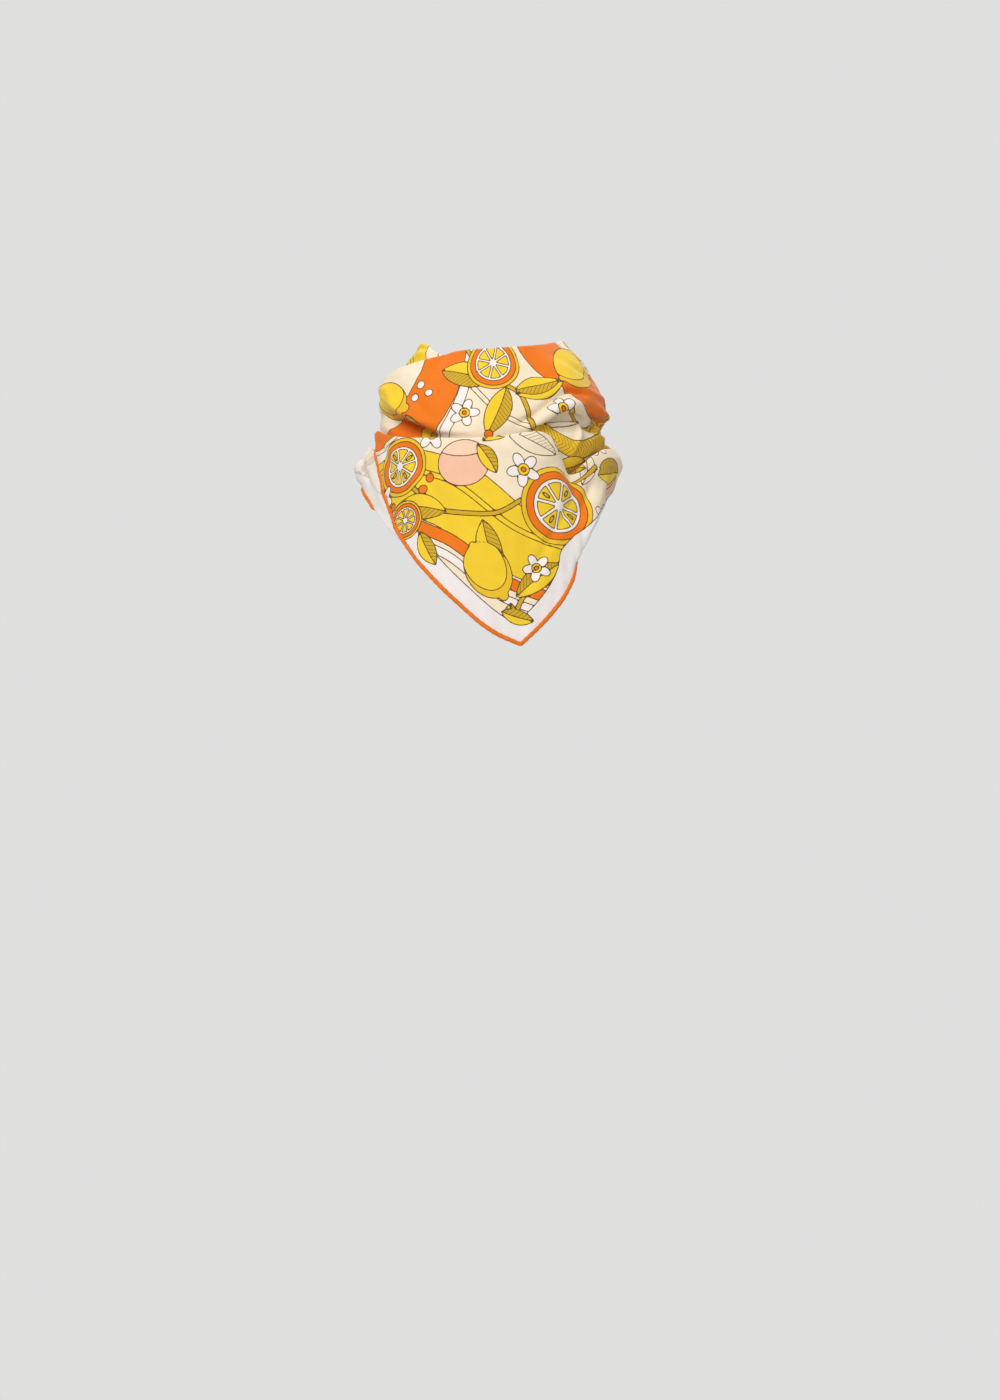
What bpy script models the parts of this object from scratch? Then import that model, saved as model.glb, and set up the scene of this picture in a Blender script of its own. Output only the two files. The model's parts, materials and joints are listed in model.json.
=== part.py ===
"""Cotton square, folded corner to corner and worn round a neck with its point in front.

Metres, +Z up, front towards -Y. The origin is on the neck's axis, at the height where the band bears on it.
Every stretch of cloth is a loft through sections that stand round that axis. A section is named by its turn:
0 degrees at the front centre, positive towards +X. Its points are a radius and a height, in millimetres.
"""
import math

import bmesh
import bpy
import numpy as np
from mathutils import Vector

MM = 0.001
CLOTH = 1.2              # wall of a stretch of cloth
GAP = 0.4                # between pieces that meet
HEM = 3.0                # thickness of the hand-rolled hem
TIP_TURN = 10            # where the point of the triangle hangs
BAND_START, BAND_END = -84, 88        # the front stretch of the band, between its two wraps
NAPE_LEFT, NAPE_RIGHT = -171, 166     # where the wraps run into the knot
DROP_START = -74         # the corner where the front ply's hem meets the cowl's fold
UNDER_START, UNDER_END = -83, 52      # the second ply's stretch in front
INNER_END = -43          # where the inner wrap tucks in behind the band
STEPS = 2                # mesh columns from one table row to the next
TAIL_SECTIONS, TAIL_COLUMNS_ACROSS = 13, 7
SEAM_RADIUS = 60         # the least distance of a seam from the axis
SHORTEST_STEP = 0.5      # between two points of a trimmed line
BEND = 2.8               # half the width of the turns at the pocket's bottom and the cowl's edge
SAG = 0.012              # how far the drop bows out, for its height
BAND_STEPS = (4, 4, 3, 3, 3, 4)       # mesh rows in each span of the band's profile
DROP_STEPS = (4, 3, 3, 2, 5, 5)       # and of the drop's
BAND_FACE_ROWS = 10      # the band's rows that face outwards, above its tuck

# The band: diagonal fold at the neck, slouched roll, the tuck under it, a shelf, and the pocket's bottom.
BAND_COLUMNS = ("turn", "neck_r", "neck_z", "mid_r", "mid_z", "roll_r", "roll_z",
                "tuck_r", "tuck_z", "shelf_r", "shelf_z", "pocket_r", "pocket_z")
BAND_ROWS = (
    (-171, 65, 1, 68, -4, 68.5, -9, 64, -12, 68, -17, 65, -22),
    (-145, 69, -2, 73, -8, 74, -14, 67, -19, 73, -26, 72, -35),
    (-120, 77, -6, 80, -12, 80, -20, 73, -27, 79, -35, 79, -47),
    (-100, 86, -9, 88, -16, 88, -24, 81, -32, 86, -40, 86, -54),
    (-84, 91.5, -7, 93, -14, 92, -22, 86, -31, 89.5, -39, 90, -55),
    (-74, 92, -4, 94, -12, 93, -20, 85, -31, 89, -39, 91, -56),
    (-62, 85, 4, 91, -9, 93.5, -27, 82, -38, 87, -46, 91, -60),
    (-50, 71, 10, 84, -9, 93, -34, 81, -41, 85, -50, 90.5, -64),
    (-40, 57, 15, 77, -11, 91.5, -40, 81, -46, 85, -55, 90, -68),
    (-30, 57, 16.5, 75, -13, 89.5, -45, 83, -52, 86, -60, 90, -71),
    (-15, 58, 17, 74, -14, 87, -48, 86, -57, 87.5, -66, 90, -74),
    (0, 58.5, 17.5, 74, -14, 86.5, -47, 86.5, -57, 87.5, -66, 90, -74),
    (10, 58, 18.5, 74, -13, 86, -44, 86, -54, 87, -62, 90, -71),
    (20, 57.5, 19.5, 74, -10, 86.5, -40, 85, -49, 86.5, -58, 90, -70),
    (27, 57, 20.5, 74, -7, 88, -36, 83, -43, 86, -54, 89.5, -74),
    (32, 57, 21, 75, -4, 89.5, -31, 82, -41, 87, -56, 89.5, -83),
    (37, 56.5, 22, 76, 0, 91, -27, 82, -40, 88.5, -56, 90, -94),
    (44, 56.5, 23, 77, 2, 92, -25, 82, -40, 90, -53, 91, -88),
    (54, 56, 25, 78, 3, 92, -26, 82, -40, 91, -50, 91.5, -79),
    (64, 56, 27, 78, 3, 92, -28, 83, -40, 91, -49, 91, -73),
    (76, 56, 29, 78, 2, 91.5, -29, 84, -41, 89.5, -50, 89.5, -69),
    (88, 56, 30, 78, 0, 90, -30, 85, -42, 88, -51, 88, -66),
    (104, 57, 28, 74, 1, 86, -26, 80, -36, 86, -45, 85, -58),
    (122, 59, 22, 70, 4, 79, -16, 73, -25, 80, -34, 79, -47),
    (145, 61, 14, 67, 4, 73, -7, 66, -14, 72, -22, 71, -33),
    (171, 62, 4, 65, 0, 67, -4, 62.5, -8, 66.5, -13, 63.5, -20),
)

# The drop: the cowl's fold edge, the brow just below it, and the hem, round the right shoulder to the nape.
DROP_COLUMNS = ("turn", "edge_r", "edge_z", "brow_r", "brow_z", "hem_r", "hem_z")
DROP_ROWS = (
    (-74, 98, -43.5, 99, -46, 98.5, -50.5),
    (-70, 98, -45, 99.5, -49, 99, -57),
    (-62, 98, -47.5, 100, -54, 101, -77),
    (-50, 98, -51.5, 100, -58, 106, -103),
    (-40, 98, -53.5, 100, -61, 111, -122),
    (-30, 97.5, -54.5, 100, -62, 114, -144),
    (-15, 97, -55.5, 99.5, -64, 116, -174.5),
    (0, 97, -55, 99.5, -64, 116.5, -202),
    (10, 97, -52.5, 99.5, -62, 117, -213),
    (20, 96.5, -50, 99.5, -60, 116.5, -181),
    (27, 96, -53, 99.5, -63, 116, -160),
    (32, 96, -66, 99, -74, 115, -148.5),
    (37, 96, -82, 99, -89, 113.5, -136),
    (44, 97, -75, 101, -83, 109, -121),
    (54, 97, -65, 102, -75, 102, -108),
    (64, 97, -59.5, 102.5, -71, 98, -101),
    (76, 97, -58, 103, -70, 96, -93),
    (88, 96.5, -58, 102.5, -70, 94, -86),
    (104, 93, -50, 98.5, -61, 91, -77),
    (122, 87, -40, 92, -50, 86, -65),
    (145, 78, -26, 82, -34, 76, -48),
    (171, 70.5, -14, 72.5, -20, 69, -29),
)

# The second ply hangs behind the drop. Its left margin stands clear of the front ply's hem.
UNDER_COLUMNS = ("turn", "top_r", "top_z", "mid_r", "mid_z", "hem_r", "hem_z")
UNDER_ROWS = (
    (-83, 97, -61, 103, -74, 106, -90),
    (-78, 96.5, -62, 102, -78, 106.5, -95),
    (-70, 95.5, -64, 99.5, -84, 104, -106),
    (-62, 95, -67, 98, -88, 102.5, -114),
    (-50, 95, -71, 98.5, -92, 103.5, -123),
    (-40, 95, -74, 99.5, -98, 107, -132),
    (-30, 95, -77, 101, -106, 109.5, -146),
    (-15, 95, -80, 102.5, -122, 111.5, -173),
    (0, 95, -80, 103.5, -134, 112.5, -197),
    (10, 95, -78, 104, -138, 113, -205),
    (20, 94.5, -78, 102.5, -122, 111.5, -176),
    (30, 94, -86, 100.5, -116, 110, -152),
    (40, 94, -98, 98.5, -110, 105, -128),
    (52, 94, -90, 96.5, -98, 98.5, -108),
)

# The layer that hugs the left of the neck, inside the band's open corner.
INNER_COLUMNS = ("turn", "top_r", "top_z", "low_r", "low_z")
INNER_ROWS = (
    (-43, 58.2, 12.4, 61, -2),
    (-60, 57, 20.5, 67, -5),
    (-76, 56, 27, 74, -7),
    (-92, 56, 29, 79, -8),
    (-110, 57, 26, 77, -10),
    (-130, 58, 20, 69, -6),
    (-150, 60, 12, 64, -4),
    (-171, 60, 3, 61, -5),
)

# The under ply's run over the left shoulder, from its outer margin up to the knot.
SHOULDER_COLUMNS = ("turn", "top_r", "top_z", "mid_r", "mid_z", "hem_r", "hem_z")
SHOULDER_ROWS = (
    (-83, 97, -61, 103.5, -74, 106.5, -90),
    (-91, 100, -61, 109, -72, 109, -88),
    (-106, 97, -57, 106, -66, 103, -80),
    (-126, 87, -50, 94, -57, 91, -68),
    (-146, 77, -39, 82, -45, 79, -54),
    (-171, 68.5, -26, 71, -30, 69, -34),
)

# Soft folds in a panel's face: a line between two places, its width, and its height, negative for a trough.
# turn, z, end_turn, end_z, width, height
DROP_FOLDS = (
    (37, -87, 12, -101, 6, -2.6),
    (26, -72, -8, -86, 9, 1.2),
    (53, -86, 33, -133, 9, -2.4),
    (66, -84, 50, -108, 6, 1.4),
    (-64, -66, -38, -108, 7, -2.2),
    (-50, -64, -22, -128, 9, 1.3),
    (-12, -84, 2, -186, 13, 1.6),
    (24, -118, 13, -190, 9, -1.8),
)
BAND_FOLDS = (
    (-72, -8, -34, -38, 6, 1.6),
    (-58, -2, -28, -30, 6, -2.0),
    (22, 4, 40, -18, 7, -1.8),
    (48, -8, 84, -22, 6, -1.8),
)
UNDER_FOLDS = (
    (-82, -72, -64, -106, 6, -2.0),
    (-30, -100, 8, -180, 11, -1.5),
)

# A free end: from the knot down to the square's corner. Each row is one section down its length.
TAIL_COLUMNS = ("down", "aside", "back", "half_width", "fold")
TAIL_ROWS = (
    (0, 0, 0, 6, 5),
    (14, 5, 4, 9, 6),
    (34, 11, 3, 14, 6),
    (60, 17, -1, 17, 5),
    (88, 21, -4, 12, 3.5),
    (108, 23, -5, 6, 2),
    (120, 24, -5, 1.6, 0.5),
)
TAIL_ROOT = (8, 80, -34.5)             # aside, back and height of the tail's first section
KNOT_CENTRE = (0, 83.2, -15)
KNOT_HALF = (26, 16, 25)
KNOT_GIRTHS = (0.5, 0.96, 0.84, 0.96, 0.5)       # from side to side: two lobes and the waist between them
KNOT_ROUNDNESS = 0.14                  # how far the cube's edges are drawn in

IVORY = (0.87, 0.82, 0.70, 1)
PALE = (0.90, 0.87, 0.80, 1)
YELLOW = (0.89, 0.66, 0.08, 1)
ORANGE = (0.86, 0.22, 0.01, 1)


def table(columns, rows):
    """The columns of a table by name, each an array down its rows in order of the first column."""
    ordered = np.array(sorted(rows), dtype=float)
    return {name: ordered[:, i] for i, name in enumerate(columns)}


BAND = table(BAND_COLUMNS, BAND_ROWS)
DROP = table(DROP_COLUMNS, DROP_ROWS)
UNDER = table(UNDER_COLUMNS, UNDER_ROWS)
INNER = table(INNER_COLUMNS, INNER_ROWS)
SHOULDER = table(SHOULDER_COLUMNS, SHOULDER_ROWS)
TAIL = table(TAIL_COLUMNS, TAIL_ROWS)


def slopes(stations, values):
    """The slope at each station, held flat at peaks so that the curve never overshoots its values."""
    runs = np.diff(stations)
    rises = np.diff(values) / runs
    found = np.empty(len(stations))
    found[0], found[-1] = rises[0], rises[-1]
    for i in range(1, len(stations) - 1):
        left, right = rises[i - 1], rises[i]
        found[i] = 0 if left * right <= 0 else 2 * left * right / (left + right)
    return found


def smooth(stations, values, at):
    """A smooth curve through values at stations, read at one place or at many."""
    at = np.clip(np.asarray(at, dtype=float), stations[0], stations[-1])
    i = np.clip(np.searchsorted(stations, at, side="right") - 1, 0, len(stations) - 2)
    run = stations[i + 1] - stations[i]
    t = (at - stations[i]) / run
    slope = slopes(stations, values)
    start = (1 + 2 * t) * (1 - t) ** 2 * values[i] + t * (1 - t) ** 2 * run * slope[i]
    return start + t * t * (3 - 2 * t) * values[i + 1] - t * t * (1 - t) * run * slope[i + 1]


def read(columns, name, turn):
    """One column of a table at any turn. The hem's height keeps its corner at the tip."""
    stations, values = columns["turn"], columns[name]
    if name != "hem_z" or not stations[0] < TIP_TURN < stations[-1]:
        return float(smooth(stations, values, turn))
    side = stations <= TIP_TURN if turn <= TIP_TURN else stations >= TIP_TURN
    return float(smooth(stations[side], values[side], turn))


def turns_between(first, last, *tables):
    """Turns for a mesh's columns: the tables' rows between two ends, and STEPS - 1 places between rows."""
    stations = sorted({t for columns in tables for t in columns["turn"]})
    rows = [first] + [t for t in stations if first + 1 < t < last - 1] + [last]
    turns = []
    for start, end in zip(rows, rows[1:]):
        turns += [start + (end - start) * k / STEPS for k in range(STEPS)]
    return turns + [last]


def profile(points, steps, lead=None, follow=None):
    """A rounded line through a section's points, with the given number of steps in each span.

    lead and follow are the points that the cloth comes from and goes on to, where it doesn't end.
    """
    points = np.array(points, dtype=float)
    lead = 2 * points[0] - points[1] if lead is None else lead
    follow = 2 * points[-1] - points[-2] if follow is None else follow
    chain = np.vstack([lead, points, follow])
    spans = np.sqrt(np.linalg.norm(np.diff(chain, axis=0), axis=1))[:, None]
    rates = np.diff(chain, axis=0) / spans
    across = (chain[2:] - chain[:-2]) / (spans[1:] + spans[:-1])
    heading = rates[:-1] - across + rates[1:]
    line = []
    for i, count in enumerate(steps):
        start, end, span = points[i], points[i + 1], spans[i + 1]
        for t in np.arange(count) / count:
            line.append((1 + 2 * t) * (1 - t) ** 2 * start + t * t * (3 - 2 * t) * end
                        + t * (1 - t) * span * ((1 - t) * heading[i] - t * heading[i + 1]))
    line.append(points[-1])
    return line


def stand(turn, line):
    """A section's line of radii and heights, stood up at its turn round the neck's axis."""
    angle = math.radians(turn)
    return [(r * math.sin(angle), -r * math.cos(angle), z) for r, z in line]


def band_points(turn):
    names = ("neck", "mid", "roll", "tuck", "shelf", "pocket")
    points = [(read(BAND, name + "_r", turn), read(BAND, name + "_z", turn)) for name in names]
    pocket = points.pop()
    return points + [(pocket[0] - BEND, pocket[1] + BEND), pocket]


def drop_points(turn):
    """From the pocket's bottom up its front wall, over the cowl's edge and brow, and down to the hem."""
    pocket = (read(BAND, "pocket_r", turn), read(BAND, "pocket_z", turn))
    edge = (read(DROP, "edge_r", turn), read(DROP, "edge_z", turn))
    brow = (read(DROP, "brow_r", turn), read(DROP, "brow_z", turn))
    hem = (read(DROP, "hem_r", turn), read(DROP, "hem_z", turn))
    toe = (pocket[0] + BEND, pocket[1] + BEND)
    rise = (edge[0] - BEND, edge[1] - BEND)
    sag = 0.5 * (brow[0] + hem[0]) - SAG * (hem[1] - brow[1])
    fall = (sag, 0.5 * (brow[1] + hem[1]))
    return [pocket, toe, rise, edge, brow, fall, hem]


def folded(grid, folds, first_row=0):
    """The grid with its face pushed in or out along each fold's line, from one row of its profile on."""
    face = grid[:, first_row:]
    outward = face * (1, 1, 0)
    radii = np.linalg.norm(outward, axis=2, keepdims=True)
    turns = np.degrees(np.arctan2(face[..., 0], -face[..., 1]))
    places = np.stack([np.radians(turns) * radii[..., 0], face[..., 2]], axis=2)
    push = np.zeros(face.shape[:2])
    for fold in folds:
        turn, z, end_turn, end_z, width, height = fold
        start = np.stack([np.radians(turn) * radii[..., 0], np.full(push.shape, z)], axis=2)
        end = np.stack([np.radians(end_turn) * radii[..., 0], np.full(push.shape, end_z)], axis=2)
        run = end - start
        along = np.clip(np.sum((places - start) * run, axis=2) / np.sum(run * run, axis=2), 0, 1)
        away = np.linalg.norm(places - start - run * along[..., None], axis=2)
        push += height * np.exp(-(away / width) ** 2)
    shaped = grid.copy()
    shaped[:, first_row:] += outward / radii * push[..., None]
    return shaped


def strip_profile(columns, names, steps):
    """The profile of a plain strip at any turn, from the named pairs of its table's columns."""
    def at(turn):
        points = [(read(columns, name + "_r", turn), read(columns, name + "_z", turn)) for name in names]
        return profile(points, steps)
    return at


def band_profile(turn):
    return profile(band_points(turn), BAND_STEPS, follow=drop_points(turn)[1])


def drop_profile(turn):
    return profile(drop_points(turn), DROP_STEPS, lead=band_points(turn)[-2])


def loft(turns, profile_at, seam_at=None):
    """The grid of points of a stretch of cloth, one profile for each turn, set back at its seam row."""
    grid = np.array([stand(turn, profile_at(turn)) for turn in turns])
    if seam_at is not None:
        inward = grid[:, 1] - grid[:, 0] if seam_at == 0 else grid[:, -2] - grid[:, -1]
        grid[:, seam_at] += inward / np.linalg.norm(inward, axis=1, keepdims=True) * GAP
    return grid


def material(name, colour, roughness=0.85):
    found = bpy.data.materials.new(name)
    found.use_nodes = True
    shader = found.node_tree.nodes["Principled BSDF"]
    shader.inputs["Base Color"].default_value = colour
    shader.inputs["Roughness"].default_value = roughness
    shader.inputs["Metallic"].default_value = 0
    return found


def add_object(name, mesh, colour):
    mesh.materials.append(material(name + "_cotton", colour))
    mesh.shade_smooth()
    made = bpy.data.objects.new(name, mesh)
    parts.objects.link(made)
    return made


def cloth(name, grid, colour, wall=CLOTH):
    """A stretch of cloth: the grid's open surface, thickened evenly to both sides."""
    columns, rows = grid.shape[:2]
    faces = [(i * rows + j, (i + 1) * rows + j, (i + 1) * rows + j + 1, i * rows + j + 1)
             for i in range(columns - 1) for j in range(rows - 1)]
    mesh = bpy.data.meshes.new(name)
    mesh.from_pydata((grid.reshape(-1, 3) * MM).tolist(), [], faces)
    made = add_object(name, mesh, colour)
    shell = made.modifiers.new("Cloth wall", "SOLIDIFY")
    shell.thickness = wall * MM
    shell.offset = 0
    shell.use_even_offset = True
    return made


def hem_line(edge, inner):
    """The middle of a rolled hem: a panel's edge points, moved out past the edge in the panel's own plane."""
    along = np.diff(edge, axis=0)
    along /= np.linalg.norm(along, axis=1, keepdims=True)
    depth = edge - inner
    out = 0.5 * (depth[1:] + depth[:-1])
    out -= along * np.sum(out * along, axis=1, keepdims=True)
    out /= np.linalg.norm(out, axis=1, keepdims=True)
    before, after = np.vstack([out[:1], out]), np.vstack([out, out[-1:]])
    mitre = (before + after) / (1 + np.sum(before * after, axis=1, keepdims=True))
    return edge + mitre * (HEM / 2 + GAP)


def rolled_hem(name, line):
    """A tube of rolled cloth along the line."""
    curve = bpy.data.curves.new(name, "CURVE")
    curve.dimensions = "3D"
    curve.bevel_depth = HEM / 2 * MM
    curve.bevel_resolution = 1
    curve.use_fill_caps = True
    path = curve.splines.new("POLY")
    path.points.add(len(line) - 1)
    for point, place in zip(path.points, line):
        point.co = (*(np.array(place) * MM), 1)
    curve.materials.append(material(name + "_orange", ORANGE))
    made = bpy.data.objects.new(name, curve)
    parts.objects.link(made)
    return made


def trimmed(line, start=0.0, end=0.0):
    """The line without a given length at its start and end."""
    lengths = np.concatenate([[0], np.cumsum(np.linalg.norm(np.diff(line, axis=0), axis=1))])
    kept = [d for d in lengths if start + SHORTEST_STEP < d < lengths[-1] - end - SHORTEST_STEP]
    marks = [start] + kept + [lengths[-1] - end]
    return np.stack([np.interp(marks, lengths, line[:, axis]) for axis in range(3)], axis=1)


def tail_grid(side):
    """A free end, folded softly along its middle; side is -1 on the left and 1 on the right."""
    root = np.array(TAIL_ROOT, dtype=float) * (side, 1, 1)
    sections = []
    for down in np.linspace(0, TAIL["down"][-1], TAIL_SECTIONS):
        aside, back, half, fold = (float(smooth(TAIL["down"], TAIL[name], down))
                                   for name in ("aside", "back", "half_width", "fold"))
        middle = root + (side * aside, back, -down)
        across = np.linspace(-1, 1, TAIL_COLUMNS_ACROSS)
        sections.append([middle + (side * half * w, fold * (1 - abs(w) ** 1.5), 0) for w in across])
    return np.array(sections)


def knot():
    """The knot: two soft lobes side by side, waisted where one end crosses the other."""
    cage = bmesh.new()
    bmesh.ops.create_cube(cage, size=2)
    bmesh.ops.subdivide_edges(cage, edges=cage.edges[:], cuts=3, use_grid_fill=True)
    for vertex in cage.verts:
        girth = np.interp(vertex.co.x, np.linspace(-1, 1, len(KNOT_GIRTHS)), KNOT_GIRTHS)
        girth *= 1 - KNOT_ROUNDNESS * (vertex.co.y ** 2 + vertex.co.z ** 2)
        vertex.co = Vector((vertex.co.x * KNOT_HALF[0], vertex.co.y * KNOT_HALF[1] * girth,
                            vertex.co.z * KNOT_HALF[2] * girth)) * MM
    mesh = bpy.data.meshes.new("nape_knot")
    cage.to_mesh(mesh)
    cage.free()
    made = add_object("nape_knot", mesh, YELLOW)
    made.location = Vector(KNOT_CENTRE) * MM
    rounding = made.modifiers.new("Rounding", "SUBSURF")
    rounding.levels = rounding.render_levels = 1
    return made


for old in list(bpy.data.objects):
    bpy.data.objects.remove(old)
parts = bpy.data.collections.new("cotton_scarf")
bpy.context.scene.collection.children.link(parts)

SEAM = math.degrees(GAP / 2 / SEAM_RADIUS)       # half a seam's gap, as a turn

# The upper band in front, and its two gathered wraps round to the nape.
front_turns = turns_between(BAND_START + SEAM, BAND_END - SEAM, BAND, DROP)
left_turns = turns_between(NAPE_LEFT, BAND_START - SEAM, BAND)
right_turns = turns_between(BAND_END + SEAM, NAPE_RIGHT, BAND, DROP)
band = loft(front_turns, band_profile, seam_at=-1)
band[:, :BAND_FACE_ROWS] = folded(band, BAND_FOLDS)[:, :BAND_FACE_ROWS]
cloth("neck_band", band, IVORY)
cloth("wrap_left", loft(left_turns, band_profile), YELLOW)
cloth("wrap_right", loft(right_turns, band_profile, seam_at=-1), YELLOW)
inner_profile = strip_profile(INNER, ("top", "low"), (4,))
cloth("inner_wrap_left", loft(turns_between(NAPE_LEFT, INNER_END, INNER), inner_profile), YELLOW)

# The front ply from the pocket to its point, and its run over the right shoulder.
drop = loft(turns_between(DROP_START, BAND_END - SEAM, BAND, DROP), drop_profile, seam_at=0)
drop_right = loft(turns_between(BAND_END + SEAM, NAPE_RIGHT, BAND, DROP), drop_profile, seam_at=0)
drop = folded(drop, DROP_FOLDS, first_row=sum(DROP_STEPS[:4]))
cloth("front_drop", drop, IVORY)
cloth("shoulder_wrap_right", drop_right, YELLOW)

# The second ply behind it, and that ply's run over the left shoulder.
under_profile = strip_profile(UNDER, ("top", "mid", "hem"), (3, 5))
under = loft(turns_between(UNDER_START + SEAM, UNDER_END, UNDER), under_profile)
under = folded(under, UNDER_FOLDS)
shoulder_profile = strip_profile(SHOULDER, ("top", "mid", "hem"), (3, 3))
shoulder = loft(turns_between(NAPE_LEFT, UNDER_START - SEAM, SHOULDER), shoulder_profile)
cloth("under_ply", under, PALE)
cloth("shoulder_wrap_left", shoulder, YELLOW)

# The rolled hems lie along the edges of these panels.
front_tip = int(np.argmin(drop[:, -1, 2]))
front_hem = hem_line(drop[:, -1], drop[:, -2])
under_tip = int(np.argmin(under[:, -1, 2]))
under_hem = hem_line(under[:, -1], under[:, -2])
rolled_hem("hem_front_left", front_hem[:front_tip + 1])
rolled_hem("hem_front_right", trimmed(front_hem[front_tip:], start=HEM * 1.25))
rolled_hem("hem_under_left", trimmed(under_hem[:under_tip + 1], start=HEM / 2))
rolled_hem("hem_under_right", trimmed(under_hem[under_tip:], start=HEM * 1.25))
rolled_hem("hem_shoulder_left", trimmed(hem_line(shoulder[:, -1], shoulder[:, -2]), end=HEM / 4))
rolled_hem("hem_shoulder_right", hem_line(drop_right[:, -1], drop_right[:, -2]))

# The knot at the nape and the two free ends under it.
knot()
for side, end in ((-1, "left"), (1, "right")):
    free_end = tail_grid(side)
    cloth("tail_" + end, free_end, YELLOW)
    rolled_hem("hem_tail_" + end, hem_line(free_end[:, -1], free_end[:, -2]))
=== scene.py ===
"""A printed cotton square, folded corner to corner and tied as it is worn: its point in front, its knot behind.

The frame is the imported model's: metres, +Z up, front towards -Y, the origin on the neck opening's axis. Sizes
are written in millimetres and turned into metres by MM. A place round the axis is named by its turn: 0 degrees
at the front centre, positive towards +X.
"""

import json
import math

import bpy
import numpy as np
from mathutils import Vector
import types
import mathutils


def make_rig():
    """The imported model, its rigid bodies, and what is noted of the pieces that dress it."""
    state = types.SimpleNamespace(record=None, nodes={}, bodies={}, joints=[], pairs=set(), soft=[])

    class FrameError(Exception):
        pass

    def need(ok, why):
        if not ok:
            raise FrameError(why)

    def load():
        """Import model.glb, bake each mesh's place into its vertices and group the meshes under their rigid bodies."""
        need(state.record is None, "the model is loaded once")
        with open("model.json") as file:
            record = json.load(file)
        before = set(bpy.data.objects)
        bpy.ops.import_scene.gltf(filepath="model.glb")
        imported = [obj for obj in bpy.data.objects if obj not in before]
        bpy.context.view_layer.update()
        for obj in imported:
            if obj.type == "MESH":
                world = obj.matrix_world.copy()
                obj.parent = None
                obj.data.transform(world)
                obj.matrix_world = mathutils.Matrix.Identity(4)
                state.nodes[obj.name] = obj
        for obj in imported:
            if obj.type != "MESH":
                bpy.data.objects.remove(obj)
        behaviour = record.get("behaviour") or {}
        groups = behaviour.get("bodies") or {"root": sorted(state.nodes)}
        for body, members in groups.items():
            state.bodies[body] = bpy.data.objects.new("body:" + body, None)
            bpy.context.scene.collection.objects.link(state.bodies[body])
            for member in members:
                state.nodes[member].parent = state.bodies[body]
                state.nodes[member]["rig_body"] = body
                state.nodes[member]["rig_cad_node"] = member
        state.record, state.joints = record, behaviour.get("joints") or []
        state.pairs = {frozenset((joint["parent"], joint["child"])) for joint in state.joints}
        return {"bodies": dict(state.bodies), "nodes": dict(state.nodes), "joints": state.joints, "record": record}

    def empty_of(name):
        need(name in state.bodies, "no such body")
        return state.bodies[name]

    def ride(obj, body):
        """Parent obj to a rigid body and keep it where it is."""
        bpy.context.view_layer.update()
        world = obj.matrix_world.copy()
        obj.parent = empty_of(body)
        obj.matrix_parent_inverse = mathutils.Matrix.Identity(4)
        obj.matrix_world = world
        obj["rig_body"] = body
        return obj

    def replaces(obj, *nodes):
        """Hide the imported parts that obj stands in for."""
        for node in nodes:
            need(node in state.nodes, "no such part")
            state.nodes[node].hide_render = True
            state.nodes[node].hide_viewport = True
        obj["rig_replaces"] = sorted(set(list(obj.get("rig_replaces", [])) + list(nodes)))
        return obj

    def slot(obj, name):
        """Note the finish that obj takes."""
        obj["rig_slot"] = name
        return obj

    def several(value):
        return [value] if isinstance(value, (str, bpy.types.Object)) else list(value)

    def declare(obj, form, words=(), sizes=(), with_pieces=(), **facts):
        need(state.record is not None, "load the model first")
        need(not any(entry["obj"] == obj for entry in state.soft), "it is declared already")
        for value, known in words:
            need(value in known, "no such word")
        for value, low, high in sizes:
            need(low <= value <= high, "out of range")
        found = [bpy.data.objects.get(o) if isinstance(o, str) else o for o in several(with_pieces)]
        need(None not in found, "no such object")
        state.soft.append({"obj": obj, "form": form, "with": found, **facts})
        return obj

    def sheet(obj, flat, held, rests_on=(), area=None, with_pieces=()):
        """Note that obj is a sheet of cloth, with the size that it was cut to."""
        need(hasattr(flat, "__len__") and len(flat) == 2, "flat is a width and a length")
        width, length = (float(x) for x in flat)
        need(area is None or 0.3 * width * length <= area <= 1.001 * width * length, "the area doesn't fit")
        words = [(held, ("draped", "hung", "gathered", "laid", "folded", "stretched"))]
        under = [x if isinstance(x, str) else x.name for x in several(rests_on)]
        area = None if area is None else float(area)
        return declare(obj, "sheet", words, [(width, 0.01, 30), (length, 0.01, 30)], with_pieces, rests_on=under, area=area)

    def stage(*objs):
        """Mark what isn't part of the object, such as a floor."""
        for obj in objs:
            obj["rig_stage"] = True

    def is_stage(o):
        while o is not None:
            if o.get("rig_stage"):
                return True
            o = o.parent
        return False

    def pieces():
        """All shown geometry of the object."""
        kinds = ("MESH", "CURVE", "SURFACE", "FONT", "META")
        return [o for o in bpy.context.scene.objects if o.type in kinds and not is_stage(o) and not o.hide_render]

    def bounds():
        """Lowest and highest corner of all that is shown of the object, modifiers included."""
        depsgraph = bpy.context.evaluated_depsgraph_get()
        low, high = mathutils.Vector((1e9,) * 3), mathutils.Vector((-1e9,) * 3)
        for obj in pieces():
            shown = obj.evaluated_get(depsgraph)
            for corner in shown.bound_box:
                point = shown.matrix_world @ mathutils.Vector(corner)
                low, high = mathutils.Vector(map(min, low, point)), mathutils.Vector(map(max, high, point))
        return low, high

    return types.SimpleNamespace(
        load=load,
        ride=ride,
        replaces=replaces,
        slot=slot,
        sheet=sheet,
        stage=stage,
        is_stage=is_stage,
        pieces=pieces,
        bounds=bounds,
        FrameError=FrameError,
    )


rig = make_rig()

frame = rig.load()
cad_low, cad_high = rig.bounds()
MM = 0.001

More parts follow.
